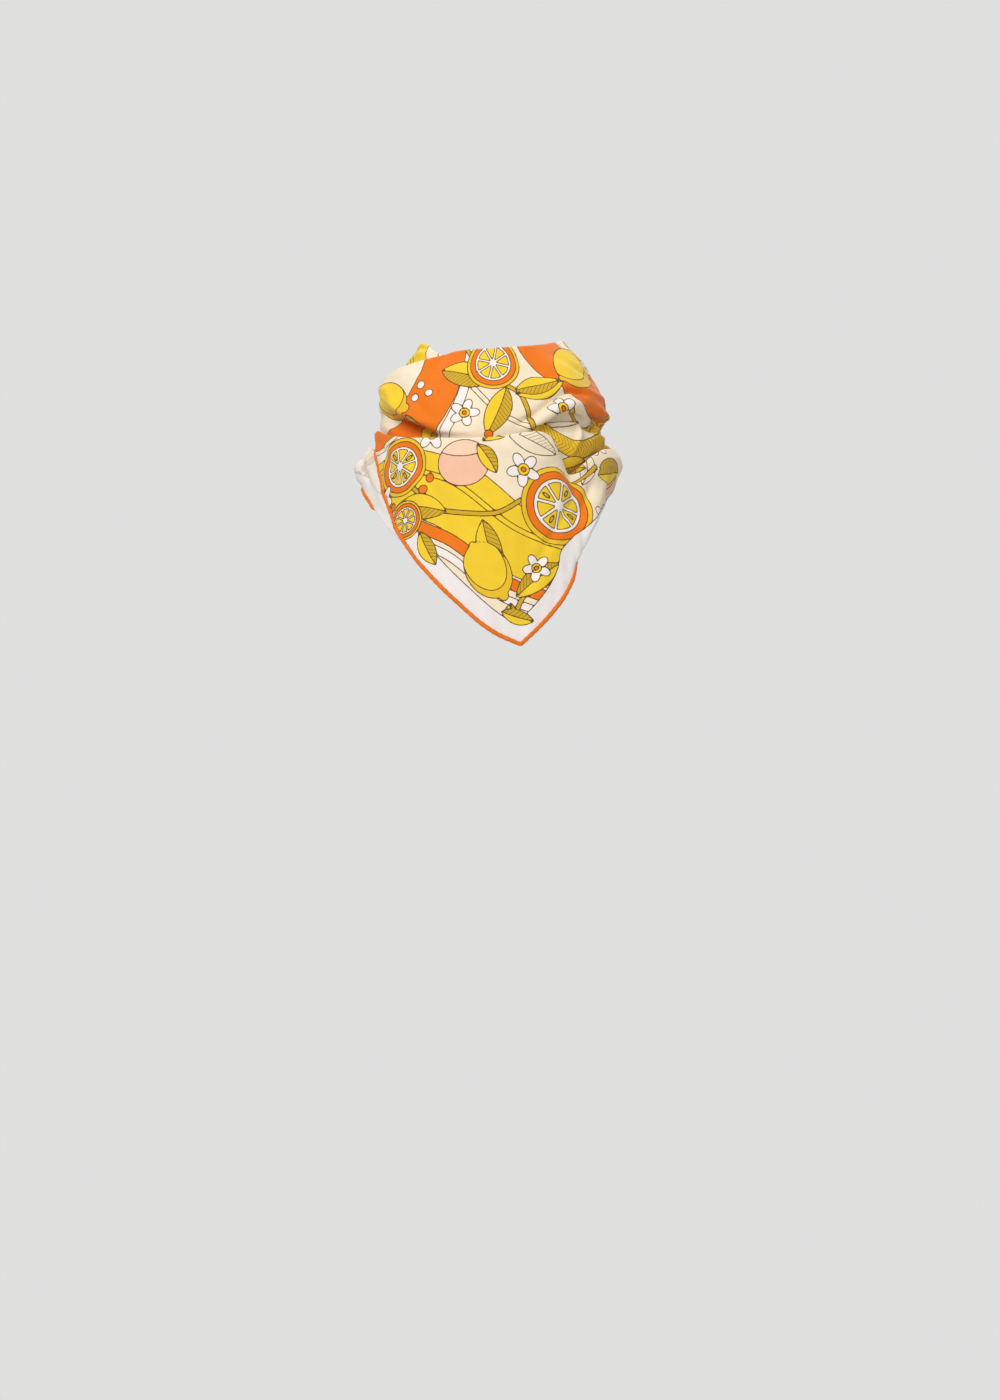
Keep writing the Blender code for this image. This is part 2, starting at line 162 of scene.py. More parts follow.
# --------------------------------------------------------------------------------------------------
# Studio. The camera stands level, a little below the scarf. Large soft boxes light it from the front, the
# right and above, and the floor is a pale plain disc well below it.
CAMERA_PLACE = (4.8, -2200, -256)
FRAME_HEIGHT = 1120                 # what the camera sees from top to bottom, at the axis
SENSOR = 36
SIGHT = 50                          # how far the camera sees, in metres
FLOOR_HEIGHT = -1450
FLOOR_RADIUS = 2400
FLOOR_SIDES = 96
FLOOR_ROUGHNESS = 0.95
FLOOR_GREY = (0.90, 0.90, 0.893, 1)
STUDIO_GREY = (0.74, 0.74, 0.735, 1)
AIR_LIGHT = 0.47                    # the even light that comes from all round
SOFT_BOXES = (                      # name, place, side and power in watts
    ("key_light", (-900, -1900, 1300), 1100, 46),
    ("fill_light", (1900, -1500, 100), 1500, 9),
    ("top_light", (200, 900, 1700), 1500, 24),
)
LIGHTS_FACE = (0, 0, -100)

scene = bpy.context.scene
scene.view_settings.view_transform = "Standard"
camera_data = bpy.data.cameras.new("camera")
camera_data.sensor_width = SENSOR
camera_data.lens = SENSOR * -CAMERA_PLACE[1] / FRAME_HEIGHT
camera_data.clip_end = SIGHT
camera = bpy.data.objects.new("camera", camera_data)
camera.location = Vector(CAMERA_PLACE) * MM
camera.rotation_euler = (math.radians(90), 0, 0)
scene.collection.objects.link(camera)
scene.camera = camera


def new_material(name, colour, roughness):
    """A material and its Principled shader."""
    made = bpy.data.materials.new(name)
    made.use_nodes = True
    made.diffuse_color = colour
    shader = made.node_tree.nodes["Principled BSDF"]
    shader.inputs["Base Color"].default_value = colour
    shader.inputs["Roughness"].default_value = roughness
    return made, shader


def new_piece(name, points, faces, *materials):
    """A smooth-shaded mesh object from points in millimetres."""
    mesh = bpy.data.meshes.new(name)
    mesh.from_pydata((np.asarray(points).reshape(-1, 3) * MM).tolist(), [], faces)
    for used in materials:
        mesh.materials.append(used)
    mesh.shade_smooth()
    made = bpy.data.objects.new(name, mesh)
    scene.collection.objects.link(made)
    return made


def grid_faces(columns, rows, closed=False):
    """The quads of a grid of points, column by column; closed joins the last row to the first."""
    across = rows if closed else rows - 1
    return [(i * rows + j, i * rows + (j + 1) % rows, (i + 1) * rows + (j + 1) % rows, (i + 1) * rows + j)
            for i in range(columns - 1) for j in range(across)]


floor_angles = np.linspace(0, 2 * math.pi, FLOOR_SIDES, endpoint=False)
floor_rim = [(FLOOR_RADIUS * math.cos(a), FLOOR_RADIUS * math.sin(a), FLOOR_HEIGHT) for a in floor_angles]
floor_paint, _ = new_material("floor_paint", FLOOR_GREY, FLOOR_ROUGHNESS)
floor = new_piece("floor", floor_rim, [tuple(range(FLOOR_SIDES))], floor_paint)
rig.stage(floor)


def soft_box(name, place, side, power):
    """A square area light that faces the scarf."""
    data = bpy.data.lights.new(name, "AREA")
    data.size = side * MM
    data.energy = power
    lamp = bpy.data.objects.new(name, data)
    lamp.location = Vector(place) * MM
    lamp.rotation_euler = (Vector(LIGHTS_FACE) - Vector(place)).to_track_quat("-Z", "Y").to_euler()
    scene.collection.objects.link(lamp)


for box in SOFT_BOXES:
    soft_box(*box)
# the air lights the scarf dimly and is seen behind it at its full grey
air = bpy.data.worlds.new("studio_air")
air.use_nodes = True
sky = air.node_tree.nodes["Background"]
sky.inputs["Color"].default_value = STUDIO_GREY
backdrop = air.node_tree.nodes.new("ShaderNodeBackground")
backdrop.inputs["Color"].default_value = STUDIO_GREY
sky.inputs["Strength"].default_value = AIR_LIGHT
seen = air.node_tree.nodes.new("ShaderNodeLightPath")
either = air.node_tree.nodes.new("ShaderNodeMixShader")
air.node_tree.links.new(seen.outputs["Is Camera Ray"], either.inputs["Fac"])
air.node_tree.links.new(sky.outputs[0], either.inputs[1])
air.node_tree.links.new(backdrop.outputs[0], either.inputs[2])
air.node_tree.links.new(either.outputs[0], air.node_tree.nodes["World Output"].inputs["Surface"])
scene.world = air

# --------------------------------------------------------------------------------------------------
# The cut and its fall. The square is folded on its diagonal. The front ply runs from the fold at the neckline
# down a slouched band, under its roll into a pocket, up over the cowl's edge, and down to the rolled hem.
NAPE_LEFT, NAPE_RIGHT = -171, 166
DROP_START = -74
TIP_TURN = 10
BEND = 2.8               # half the width of the turns at the pocket's bottom and the cowl's edge
SAG = 0.012              # how far the drop bows out, for its height
CURL_TURNS = (30, 44, 92, 130)      # where the hem's edge starts to curl under, has done so, and opens again
CURL_LENGTH, CURL_GAP = 14, 4.8     # how much of the cloth lies under, and how far behind
CURL_BEND = 2                       # how far the cloth still hangs below where it bends
CURL_SAG, CURL_REACH = 0.06, 0.93   # how far the bend sags and the loose edge reaches up, as shares of the length
CURL_HASTE = 4                      # how much sooner it is behind than up
DRAW_FROM, DRAW_SPAN = 150, 20      # past this turn, over so many degrees, the layers are drawn into the knot:
DRAW_OUT = 9                        # so far outwards,
DRAW_TO, DRAW_SHARE = -12, 0.45     # and towards this height, by this share of the way
FRONT_STEP, BACK_STEP = 0.75, 1.5   # degrees from one mesh column to the next
FRONT_TURNS = 100                   # the finer columns reach this far to each side
BAND_STEPS = (24, 26, 16, 14, 18, 4)            # mesh rows from each of the band's points to the next
DROP_STEPS = (4, 10, 4, 8, 55, 45, 5, 8)        # and from each of the drop's

BAND_COLUMNS = ("turn", "neck_r", "neck_z", "mid_r", "mid_z", "roll_r", "roll_z",
                "tuck_r", "tuck_z", "shelf_r", "shelf_z", "pocket_r", "pocket_z")
BAND_ROWS = (
    (-171, 65, 1, 68, -4, 68.5, -9, 64, -12, 68, -17, 65, -22),
    (-145, 69, -2, 73, -8, 74, -14, 67, -19, 73, -26, 72, -35),
    (-120, 77, -6, 80, -12, 80, -20, 73, -27, 79, -35, 79, -47),
    (-100, 86, -9, 88, -16, 88, -24, 84, -32, 87, -40, 86, -54),
    (-84, 90, -6, 91.5, -14, 92, -23, 90, -31, 91, -39, 90.5, -55),
    (-74, 92, -4, 93, -12, 93, -21, 88.5, -31, 91, -39, 91.5, -56),
    (-62, 85, 4, 91, -9, 93.5, -27, 81, -37, 86, -46, 91, -60),
    (-50, 71, 10, 84, -9, 93, -34, 77, -40, 82, -50, 90.5, -64),
    (-40, 57, 15, 77, -11, 91.5, -40, 77, -45, 82, -55, 90, -68),
    (-30, 57, 16.5, 75, -13, 89.5, -45, 83, -52, 86, -60, 90, -71),
    (-15, 58, 17, 74, -14, 87, -48, 86, -57, 87.5, -66, 90, -74),
    (0, 58.5, 17.5, 74, -14, 86.5, -47, 86.5, -57, 87.5, -66, 90, -74),
    (10, 58, 18.5, 74, -13, 86, -44, 86, -54, 87, -62, 90, -71),
    (20, 57.5, 19.5, 74, -10, 86.5, -40, 85, -49, 86.5, -58, 90, -70),
    (27, 57, 20.5, 74, -7, 88, -36, 83, -43, 86, -54, 89.5, -74),
    (32, 57, 21, 75, -4, 89.5, -31, 82, -41, 87, -56, 89.5, -83),
    (37, 56.5, 22, 76, 0, 91, -27, 82, -40, 88.5, -56, 90, -94),
    (44, 56.5, 23, 77, 2, 92, -25, 82, -40, 90, -53, 91, -88),
    (54, 56, 25, 78, 3, 92, -26, 82, -40, 91, -50, 91.5, -79),
    (64, 56, 27, 78, 3, 92, -28, 83, -40, 91, -49, 91, -73),
    (76, 56, 29, 78, 2, 91.5, -29, 84, -41, 89.5, -50, 89.5, -69),
    (88, 56, 30, 78, 0, 90, -30, 85, -42, 88, -51, 88, -66),
    (104, 57, 28, 74, 1, 86, -26, 80, -36, 86, -45, 85, -58),
    (122, 59, 22, 70, 4, 79, -16, 73, -25, 80, -34, 79, -47),
    (145, 61, 14, 67, 4, 73, -7, 66, -14, 72, -22, 71, -33),
    (171, 62, 4, 65, 0, 67, -4, 62.5, -8, 66.5, -13, 63.5, -20),
)
DROP_COLUMNS = ("turn", "edge_r", "edge_z", "brow_r", "brow_z", "hem_r", "hem_z")
DROP_ROWS = (
    (-74, 98, -45, 98.5, -47.5, 98, -51),
    (-70, 98, -44.5, 99.5, -49, 99, -57),
    (-62, 98, -47.5, 100, -54, 101, -78.5),
    (-50, 98, -51.5, 100, -58, 106, -106),
    (-40, 98, -53.5, 100, -61, 111, -129),
    (-30, 97.5, -54.5, 100, -62, 114, -150),
    (-15, 97, -55.5, 99.5, -64, 116, -178.5),
    (0, 97, -55, 99.5, -64, 116.5, -203.5),
    (10, 97, -52.5, 99.5, -62, 117, -213),
    (20, 96.5, -50, 99.5, -60, 117, -193.5),
    (27, 96, -53, 99.5, -63, 117, -176.5),
    (32, 96, -66, 99, -74, 116.5, -160),
    (37, 96, -82, 99, -89, 116, -141.5),
    (44, 97, -75, 101, -83, 114, -120.5),
    (54, 97, -65, 102, -75, 106, -107.5),
    (64, 97, -59.5, 102.5, -71, 98, -101),
    (76, 97, -58, 103, -70, 96, -93),
    (88, 96.5, -58, 102.5, -70, 94, -86),
    (104, 93, -50, 98.5, -61, 91, -77),
    (122, 87, -40, 92, -50, 86, -65),
    (145, 78, -26, 82, -34, 76, -48),
    (171, 70.5, -14, 72.5, -20, 69, -29),
)


def table(columns, rows):
    """The columns of a table by name, each an array down its rows."""
    values = np.array(sorted(rows), dtype=float)
    return {name: values[:, i] for i, name in enumerate(columns)}


def slopes(stations, values):
    """The slope at each station, held flat at peaks so that the curve never overshoots its values."""
    rises = np.diff(values) / np.diff(stations)
    found = np.empty(len(stations))
    found[0], found[-1] = rises[0], rises[-1]
    product = rises[:-1] * rises[1:]
    total = rises[:-1] + rises[1:]
    found[1:-1] = np.where(product > 0, 2 * product / np.where(product > 0, total, 1), 0)
    return found


def cubic(t, start, end, run, leaving, arriving):
    """A curve from start to end over a run, read at the share t of it, with its slopes at both ends."""
    return ((1 + 2 * t) * (1 - t) ** 2 * start + t * t * (3 - 2 * t) * end
            + t * (1 - t) * run * ((1 - t) * leaving - t * arriving))


def smooth(stations, values, at):
    """A smooth curve through values at stations, read at many places."""
    at = np.clip(np.asarray(at, dtype=float), stations[0], stations[-1])
    i = np.clip(np.searchsorted(stations, at, side="right") - 1, 0, len(stations) - 2)
    run = stations[i + 1] - stations[i]
    slope = slopes(stations, values)
    return cubic((at - stations[i]) / run, values[i], values[i + 1], run, slope[i], slope[i + 1])


def section(columns, names, turns, tip=None):
    """Radii and heights of a section's named points, at many turns. At the tip the hem keeps its corner."""
    found = []
    for name in names:
        radius = smooth(columns["turn"], columns[name + "_r"], turns)
        height = smooth(columns["turn"], columns[name + "_z"], turns)
        if name == "hem" and tip is not None:
            for side in (columns["turn"] <= tip, columns["turn"] >= tip):
                here = (turns - tip) * (columns["turn"][side].mean() - tip) >= 0
                height[here] = smooth(columns["turn"][side], columns[name + "_z"][side], turns[here])
        found.append(np.stack([radius, height], axis=1))
    return found


def profile(points, steps, lead=None, follow=None):
    """Rounded lines through the sections' points: an array of turns by rows by (radius, height).

    lead and follow are the points that the cloth comes from and goes on to, where it doesn't end.
    """
    lead = 2 * points[0] - points[1] if lead is None else lead
    follow = 2 * points[-1] - points[-2] if follow is None else follow
    chain = np.stack([lead, *points, follow], axis=1)
    spans = np.sqrt(np.linalg.norm(np.diff(chain, axis=1), axis=2, keepdims=True))
    rates = np.diff(chain, axis=1) / spans
    across = (chain[:, 2:] - chain[:, :-2]) / (spans[:, 1:] + spans[:, :-1])
    heading = rates[:, :-1] - across + rates[:, 1:]
    rows = []
    for i, count in enumerate(steps):
        for t in np.arange(count) / count:
            rows.append(cubic(t, points[i], points[i + 1], spans[:, i + 1], heading[:, i], heading[:, i + 1]))
    return np.stack(rows + [points[-1]], axis=1)


def stood(turns, lines):
    """Sections of radius and height, stood up round the axis at their turns."""
    angles = np.radians(turns)[:, None]
    return np.stack([lines[..., 0] * np.sin(angles), -lines[..., 0] * np.cos(angles), lines[..., 1]], axis=2)


def fine_turns(first, last):
    """Turns for mesh columns from first to last, closer together across the front."""
    marks = [first]
    while marks[-1] < last:
        marks.append(marks[-1] + (FRONT_STEP if -FRONT_TURNS <= marks[-1] < FRONT_TURNS else BACK_STEP))
    return first + (np.array(marks) - first) * (last - first) / (marks[-1] - first)


def moved(point, radius, height):
    return point + np.array((radius, height))


def drawn_in(turns, lines):
    """The sections near the nape, drawn out and together into the knot."""
    share = np.clip((abs(turns) - DRAW_FROM) / DRAW_SPAN, 0, 1)[:, None] ** 2
    radius, height = lines[..., 0], lines[..., 1]
    return np.stack([radius + DRAW_OUT * share, height + DRAW_SHARE * share * (DRAW_TO - height)], axis=2)


BAND = table(BAND_COLUMNS, BAND_ROWS)
DROP = table(DROP_COLUMNS, DROP_ROWS)
turns = fine_turns(NAPE_LEFT, NAPE_RIGHT)
BAND_POINTS = ("neck", "mid", "roll", "tuck", "shelf", "pocket")
neck, mid, roll, tuck, shelf, pocket = section(BAND, BAND_POINTS, turns)
edge, brow, hem = section(DROP, ("edge", "brow", "hem"), turns, TIP_TURN)
heel, toe, rise = moved(pocket, -BEND, BEND), moved(pocket, BEND, BEND), moved(edge, -BEND, -BEND)
fall = 0.5 * (brow + hem)
fall[:, 0] += SAG * (brow[:, 1] - hem[:, 1])
curl = np.interp(turns, CURL_TURNS, (0, 1, 1, 0))[:, None]
curl = curl * curl * (3 - 2 * curl)
upward = fall - hem
height = np.linalg.norm(upward, axis=1, keepdims=True)
inward = np.stack([-upward[:, 1], upward[:, 0]], axis=1) / height
upward = upward / height * np.minimum(CURL_LENGTH, height / 2)
lap = hem + upward * (1 - curl + CURL_BEND * curl / CURL_LENGTH)
gap = CURL_GAP * np.minimum(1, CURL_HASTE * curl)
turned_edge = hem + upward * ((1 - curl) ** 3 / 2 - CURL_SAG * curl) + gap / 2 * inward
loose_edge = hem + CURL_REACH * curl * upward + gap * inward
band_lines = profile([neck, mid, roll, tuck, shelf, heel, pocket], BAND_STEPS, follow=toe)
drop_points = [pocket, toe, rise, edge, brow, fall, lap, turned_edge, loose_edge]
drop_lines = profile(drop_points, DROP_STEPS, lead=heel)
front_ply = stood(turns, drawn_in(turns, np.concatenate([band_lines, drop_lines[:, 1:]], axis=1)))
POCKET_ROW = sum(BAND_STEPS)
HEM_ROW = POCKET_ROW + sum(DROP_STEPS)
STATIONS = np.concatenate([[0], np.cumsum(BAND_STEPS + DROP_STEPS)])
drop_from = int(np.argmin(abs(turns - DROP_START)))


def unit(vectors):
    return vectors / np.maximum(np.linalg.norm(vectors, axis=-1, keepdims=True), 1e-9)


def spread(count, coarse_count):
    """The weights that read evenly spaced coarse values at finer places."""
    at = np.linspace(0, coarse_count - 1, count)
    low = np.minimum(at.astype(int), coarse_count - 2)
    weights = np.zeros((count, coarse_count))
    weights[np.arange(count), low] = 1 - (at - low)
    weights[np.arange(count), low + 1] = at - low
    return weights


FLAT_LEVELS = ((64, 56, 900), (150, 120, 160), (0, 0, 30))      # columns, rows and passes; 0 is the whole grid
NEIGHBOURS = ((1, 0), (0, 1), (1, 1), (1, -1))
HALF_WAY = 0.5           # how far each tie pulls either of its ends in one pass


def flattened(grid, real=None):
    """The grid's points laid out flat, in millimetres, with each step as long as it is on the cloth.

    Ties between neighbours pull the flat points until they are as far apart as on the worn cloth, first on a
    coarse grid and then on finer ones. real is 0 at points that only fill up the grid's rectangle.
    """
    real = np.ones(grid.shape[:2]) if real is None else real
    middle = grid.shape[0] // 2
    steps = np.linalg.norm(np.diff(grid, axis=0), axis=2).mean(axis=1)
    along = np.concatenate([[0], np.cumsum(steps)])
    down = np.cumsum(np.linalg.norm(np.diff(grid, axis=1, prepend=grid[:, :1]), axis=2), axis=1)
    flat = np.stack([np.broadcast_to((along - along[middle])[:, None], down.shape), down], axis=2)
    for columns, rows, passes in FLAT_LEVELS:
        columns, rows = (columns, rows) if columns else grid.shape[:2]
        columns, rows = min(columns, grid.shape[0]), min(rows, grid.shape[1])
        to_columns, to_rows = spread(columns, flat.shape[0]), spread(rows, flat.shape[1])
        place = (to_columns @ flat.reshape(len(flat), -1)).reshape(columns, -1, 2)
        place = np.matmul(to_rows, place)
        from_columns = np.linspace(0, grid.shape[0] - 1, columns).round().astype(int)
        from_rows = np.linspace(0, grid.shape[1] - 1, rows).round().astype(int)
        solid = grid[np.ix_(from_columns, from_rows)]
        weight = real[np.ix_(from_columns, from_rows)]
        ties = []
        for di, dj in NEIGHBOURS:
            if dj >= 0:
                a, b = (slice(0, columns - di), slice(0, rows - dj)), (slice(di, columns), slice(dj, rows))
            else:
                a, b = (slice(0, columns - di), slice(1, rows)), (slice(di, columns), slice(0, rows - 1))
            length = np.linalg.norm(solid[b] - solid[a], axis=2)
            for parity in (0, 1):
                pick = (slice(parity, None, 2), slice(None)) if di else (slice(None), slice(parity, None, 2))
                ties.append((a, b, pick, length[pick], HALF_WAY * (weight[a] * weight[b])[pick]))
        for _ in range(passes):
            for a, b, pick, length, strength in ties:
                start, end = place[a][pick], place[b][pick]
                gap = end - start
                now = np.maximum(np.linalg.norm(gap, axis=2), 1e-6)
                pull = gap * (strength * (now - length) / now)[..., None]
                start += pull
                end -= pull
        flat = place
    return flat


on_cloth = np.ones(front_ply.shape[:2])
on_cloth[:drop_from, POCKET_ROW + 1:] = 0
front_flat = flattened(front_ply, on_cloth)
front_flat -= front_flat[int(np.argmin(abs(turns))), 0]


def place(flat, turns, stations, turn, down):
    """Where a place lies on the flat cloth: its turn, and how far down, counted in its section's points."""
    i = np.interp(turn, turns, np.arange(len(turns)))
    j = np.interp(down, np.arange(len(stations)), stations)
    a, b = min(int(i), len(turns) - 2), min(int(j), stations[-1] - 1)
    u, v = i - a, j - b
    return ((1 - u) * ((1 - v) * flat[a, b] + v * flat[a, b + 1])
            + u * ((1 - v) * flat[a + 1, b] + v * flat[a + 1, b + 1]))


def outward(grid):
    """The direction square to the cloth at each point, on its right side."""
    return unit(np.cross(np.gradient(grid, axis=1), np.gradient(grid, axis=0)))


def nearest(points, path):
    """How far each flat point is from a path of straight runs, and how far along it, from 0 to 1."""
    lengths = np.linalg.norm(np.diff(path, axis=0), axis=1)
    reached = np.concatenate([[0], np.cumsum(lengths)]) / lengths.sum()
    away = np.full(points.shape[:-1], np.inf)
    along = np.zeros(points.shape[:-1])
    for k in range(len(path) - 1):
        run = path[k + 1] - path[k]
        t = np.clip((points - path[k]) @ run / (run @ run), 0, 1)
        distance = np.linalg.norm(points - path[k] - t[..., None] * run, axis=-1)
        closer = distance < away
        away = np.where(closer, distance, away)
        along = np.where(closer, reached[k] + t * (reached[k + 1] - reached[k]), along)
    return away, along


def creased(flat, creases, fade=0.25):
    """How far each point is pushed out by the creases, which swell and fade over a share of their length.

    Each is a path, its width, its height and the share of its width at its end. A trough's height is negative.
    """
    push = np.zeros(flat.shape[:2])
    for path, width, height, end_share in creases:
        path = np.array(path)
        reach = 3 * width
        box = np.all((flat > path.min(axis=0) - reach) & (flat < path.max(axis=0) + reach), axis=2)
        away, along = nearest(flat[box], path)
        swell, waning = (np.sin(np.clip(part / fade, 0, 1) * math.pi / 2) for part in (along, 1 - along))
        local_width = width * (1 - (1 - end_share) * along)
        push[box] += height * (swell * waning) ** 1.5 * np.exp(-(away / local_width) ** 2)
    return push


def on_flat(flat, turns, stations, creases):
    """Creases that are given by places on the worn cloth, with their paths on the flat cloth."""
    return [([place(flat, turns, stations, *p) for p in places], *rest) for places, *rest in creases]


# Places are (turn, how far down). How far down is 0 at the neckline, 1 at the band's middle, 2 at its roll, 3 in
# the tuck, 4 on the shelf, 6 at the pocket's bottom, 9 on the cowl's edge, 10 at its brow, 11 halfway down the
# drop and 12 near the hem. After them stand the crease's width, its height and its width's share at the end.
FRONT_CREASES = (
    # the corner of the band at the left, and the slouch below it
    (((-80, 0.5), (-66, 1.2), (-52, 1.9)), 5, 1.9, 0.6),
    (((-74, 0.2), (-60, 0.8), (-44, 1.45), (-30, 1.8)), 5, -1.5, 0.7),
    (((-58, 0.15), (-46, 0.9), (-34, 1.35)), 4, 1.1, 0.7),
    (((-50, 2.2), (-30, 2.35), (-8, 2.2)), 3.2, 0.9, 0.7),
    (((-40, 1.75), (-22, 1.72), (-6, 1.6)), 6, -0.9, 0.8),
    (((-90, 1.2), (-78, 1.5), (-64, 2.1)), 3.5, -1.1, 0.7),
    (((-84, 2.2), (-66, 2.6), (-48, 2.8)), 2.6, 0.9, 0.7),
    (((-78, 3.4), (-60, 3.7), (-42, 3.6)), 2.6, -0.8, 0.7),
    # the band's front and right
    (((14, 0.1), (24, 0.7), (36, 1.25)), 5, -1.2, 0.7),
    (((-78, 0.9), (-60, 1.75), (-42, 1.95), (-26, 1.95)), 2.4, 1.1, 0.8),
    (((40, 0.2), (56, 0.9), (76, 1.3)), 6, -1.6, 0.7),
    (((62, 0.1), (76, 0.6), (92, 0.9)), 4.5, 1.2, 0.7),
    (((18, 1.5), (34, 1.75), (52, 1.8)), 5, -1.3, 0.7),
    (((50, 1.45), (64, 1.6), (84, 1.6)), 3.6, 1.2, 0.7),
    (((70, 1.75), (82, 1.9), (96, 1.85)), 2.8, -1.3, 0.8),
    (((0, 0.3), (4, 1.0), (12, 1.6)), 9, -0.7, 0.8),
    # the small folds caught between the roll and the cowl at the right
    (((10, 2.25), (20, 1.85), (30, 1.62), (42, 1.6), (58, 1.7)), 2.8, -5.0, 0.8),
    (((14, 2.9), (24, 2.3), (33, 2.1), (43, 2.1), (53, 2.3)), 4.2, 3.8, 0.9),
    (((24, 2.95), (33, 2.65), (44, 2.6), (56, 2.75)), 2.1, -4.2, 0.8),
    (((25, 3.4), (33, 3.05), (42, 3.0), (50, 3.3), (48, 3.8), (41, 4.4)), 3.0, 3.8, 0.6),
    (((54, 2.2), (60, 2.5), (70, 2.65), (84, 2.6)), 2.4, -3.4, 0.8),
    (((58, 1.9), (68, 2.1), (80, 2.15), (94, 2.1)), 3.0, 2.4, 0.8),
    (((56, 3.1), (66, 3.0), (80, 3.2)), 2.2, 2.8, 0.7),
    (((54, 3.6), (64, 3.5), (78, 3.7)), 2.0, -2.6, 0.7),
    (((52, 4.2), (62, 4.0), (76, 4.1)), 2.6, 2.2, 0.7),
    (((30, 4.2), (36, 4.8), (39, 5.4)), 2.2, -1.8, 0.7),
    # the ridge that runs from the notch to the right side, and the soft valleys below it
    (((38, 9.9), (28, 10.25), (14, 10.4)), 5, -1.5, 0.7),
    (((28, 9.6), (10, 10.0), (-12, 10.15)), 6, 0.8, 0.7),
    (((50, 10.3), (42, 10.8), (33, 11.3)), 6, -3.2, 0.8),
    (((64, 10.4), (56, 10.9), (46, 11.5)), 5, 1.3, 0.8),
    (((40, 10.15), (34, 10.7), (22, 11.2), (12, 11.6)), 5, -2.2, 0.8),
    (((72, 10.2), (66, 10.9), (56, 11.7)), 4.5, -1.4, 0.8),
    (((84, 9.6), (70, 9.7), (56, 9.75)), 3.4, 1.0, 0.8),
    # long soft falls down the drop
    (((-70, 9.8), (-56, 10.5), (-44, 11.3)), 5, -1.6, 0.8),
    (((-60, 9.7), (-40, 10.5), (-26, 11.3)), 7, 1.1, 0.8),
    (((-44, 9.9), (-28, 10.6), (-14, 11.5)), 6, -1.1, 0.8),
    (((-20, 10.1), (-10, 10.8), (0, 11.7)), 10, 1.3, 0.8),
    (((14, 10.6), (14, 11.2), (12, 11.8)), 8, -1.5, 0.8),
    (((26, 11.1), (20, 11.5), (15, 11.9)), 6, 1.0, 0.8),
    # the wraps, gathered more and more towards the knot
    (((-170, 0.3), (-150, 0.45), (-122, 0.7)), 2.2, -1.2, 2.2),
    (((-170, 0.8), (-148, 0.95), (-112, 1.25)), 2.2, 1.3, 2.4),
    (((-170, 1.35), (-146, 1.45), (-116, 1.6)), 2.0, -1.2, 2.2),
    (((-170, 1.9), (-140, 2.0), (-104, 2.1)), 2.2, 1.0, 2.0),
    (((-170, 3.5), (-142, 3.6), (-110, 3.8)), 2.0, 1.1, 2.2),
    (((-170, 4.6), (-144, 4.7), (-112, 4.9)), 2.2, -1.1, 2.4),
    (((165, 0.25), (146, 0.4), (120, 0.6)), 2.2, -1.3, 2.6),
    (((165, 0.7), (142, 0.85), (108, 1.1)), 2.4, 1.4, 2.6),
    (((165, 1.2), (144, 1.3), (118, 1.5)), 2.2, -1.3, 2.4),
    (((165, 1.7), (140, 1.8), (104, 1.9)), 2.2, 1.1, 2.0),
    (((165, 3.6), (140, 3.7), (112, 3.9)), 2.0, 1.2, 2.2),
    (((165, 4.7), (142, 4.8), (110, 4.9)), 2.2, -1.0, 2.4),
    (((165, 10.2), (146, 10.3), (118, 10.5)), 2.4, 1.2, 2.2),
    (((165, 11.0), (144, 11.1), (122, 11.2)), 2.4, -1.0, 2.2),
)
FRONT_SMALL, UNDER_SMALL, INNER_SMALL = 130, 60, 40      # how many small creases each ply has
SMALL_LENGTH, SMALL_BOW = (6, 22), 0.25                  # half a small crease's length, and its bow's share of it
SMALL_WIDTH, SMALL_HEIGHT = (1.6, 4.0), (0.12, 0.34)
SMALL_FADE = 0.5
small = np.random.default_rng(7)


def small_creases(flat, count, draws):
    """Short faint creases of chance size, place and slant, as handling leaves in thin cotton."""
    low, high = flat.reshape(-1, 2).min(axis=0), flat.reshape(-1, 2).max(axis=0)
    found = []
    for _ in range(count):
        middle = draws.uniform(low, high)
        slant = draws.uniform(0, math.pi)
        half = draws.uniform(*SMALL_LENGTH) * np.array((math.cos(slant), math.sin(slant)))
        bow = draws.uniform(-SMALL_BOW, SMALL_BOW) * np.array((-half[1], half[0]))
        found.append(([middle - half, middle + bow, middle + half], draws.uniform(*SMALL_WIDTH),
                      draws.choice((-1, 1)) * draws.uniform(*SMALL_HEIGHT), draws.uniform(0.5, 1)))
    return found


def run_along(line):
    """How far along a line each of its points lies."""
    return np.concatenate([[0], np.cumsum(np.linalg.norm(np.diff(line, axis=0), axis=1))])


HEM_WAVES = ((0.45, 37, 0.4), (0.3, 19, 2.1))        # height, length and start of each ripple along the hem
HEM_WAVE_REACH = 16
push = creased(front_flat, on_flat(front_flat, turns, STATIONS, FRONT_CREASES))
push += creased(front_flat, small_creases(front_flat, FRONT_SMALL, small), SMALL_FADE)
hem_run = run_along(front_ply[:, HEM_ROW])[:, None]
from_hem = np.linalg.norm(front_flat - front_flat[:, HEM_ROW:], axis=2)
for height, length, start in HEM_WAVES:
    push += height * np.sin(2 * math.pi * hem_run / length + start) * np.exp(-from_hem / HEM_WAVE_REACH)
front_ply += outward(front_ply) * push[..., None]

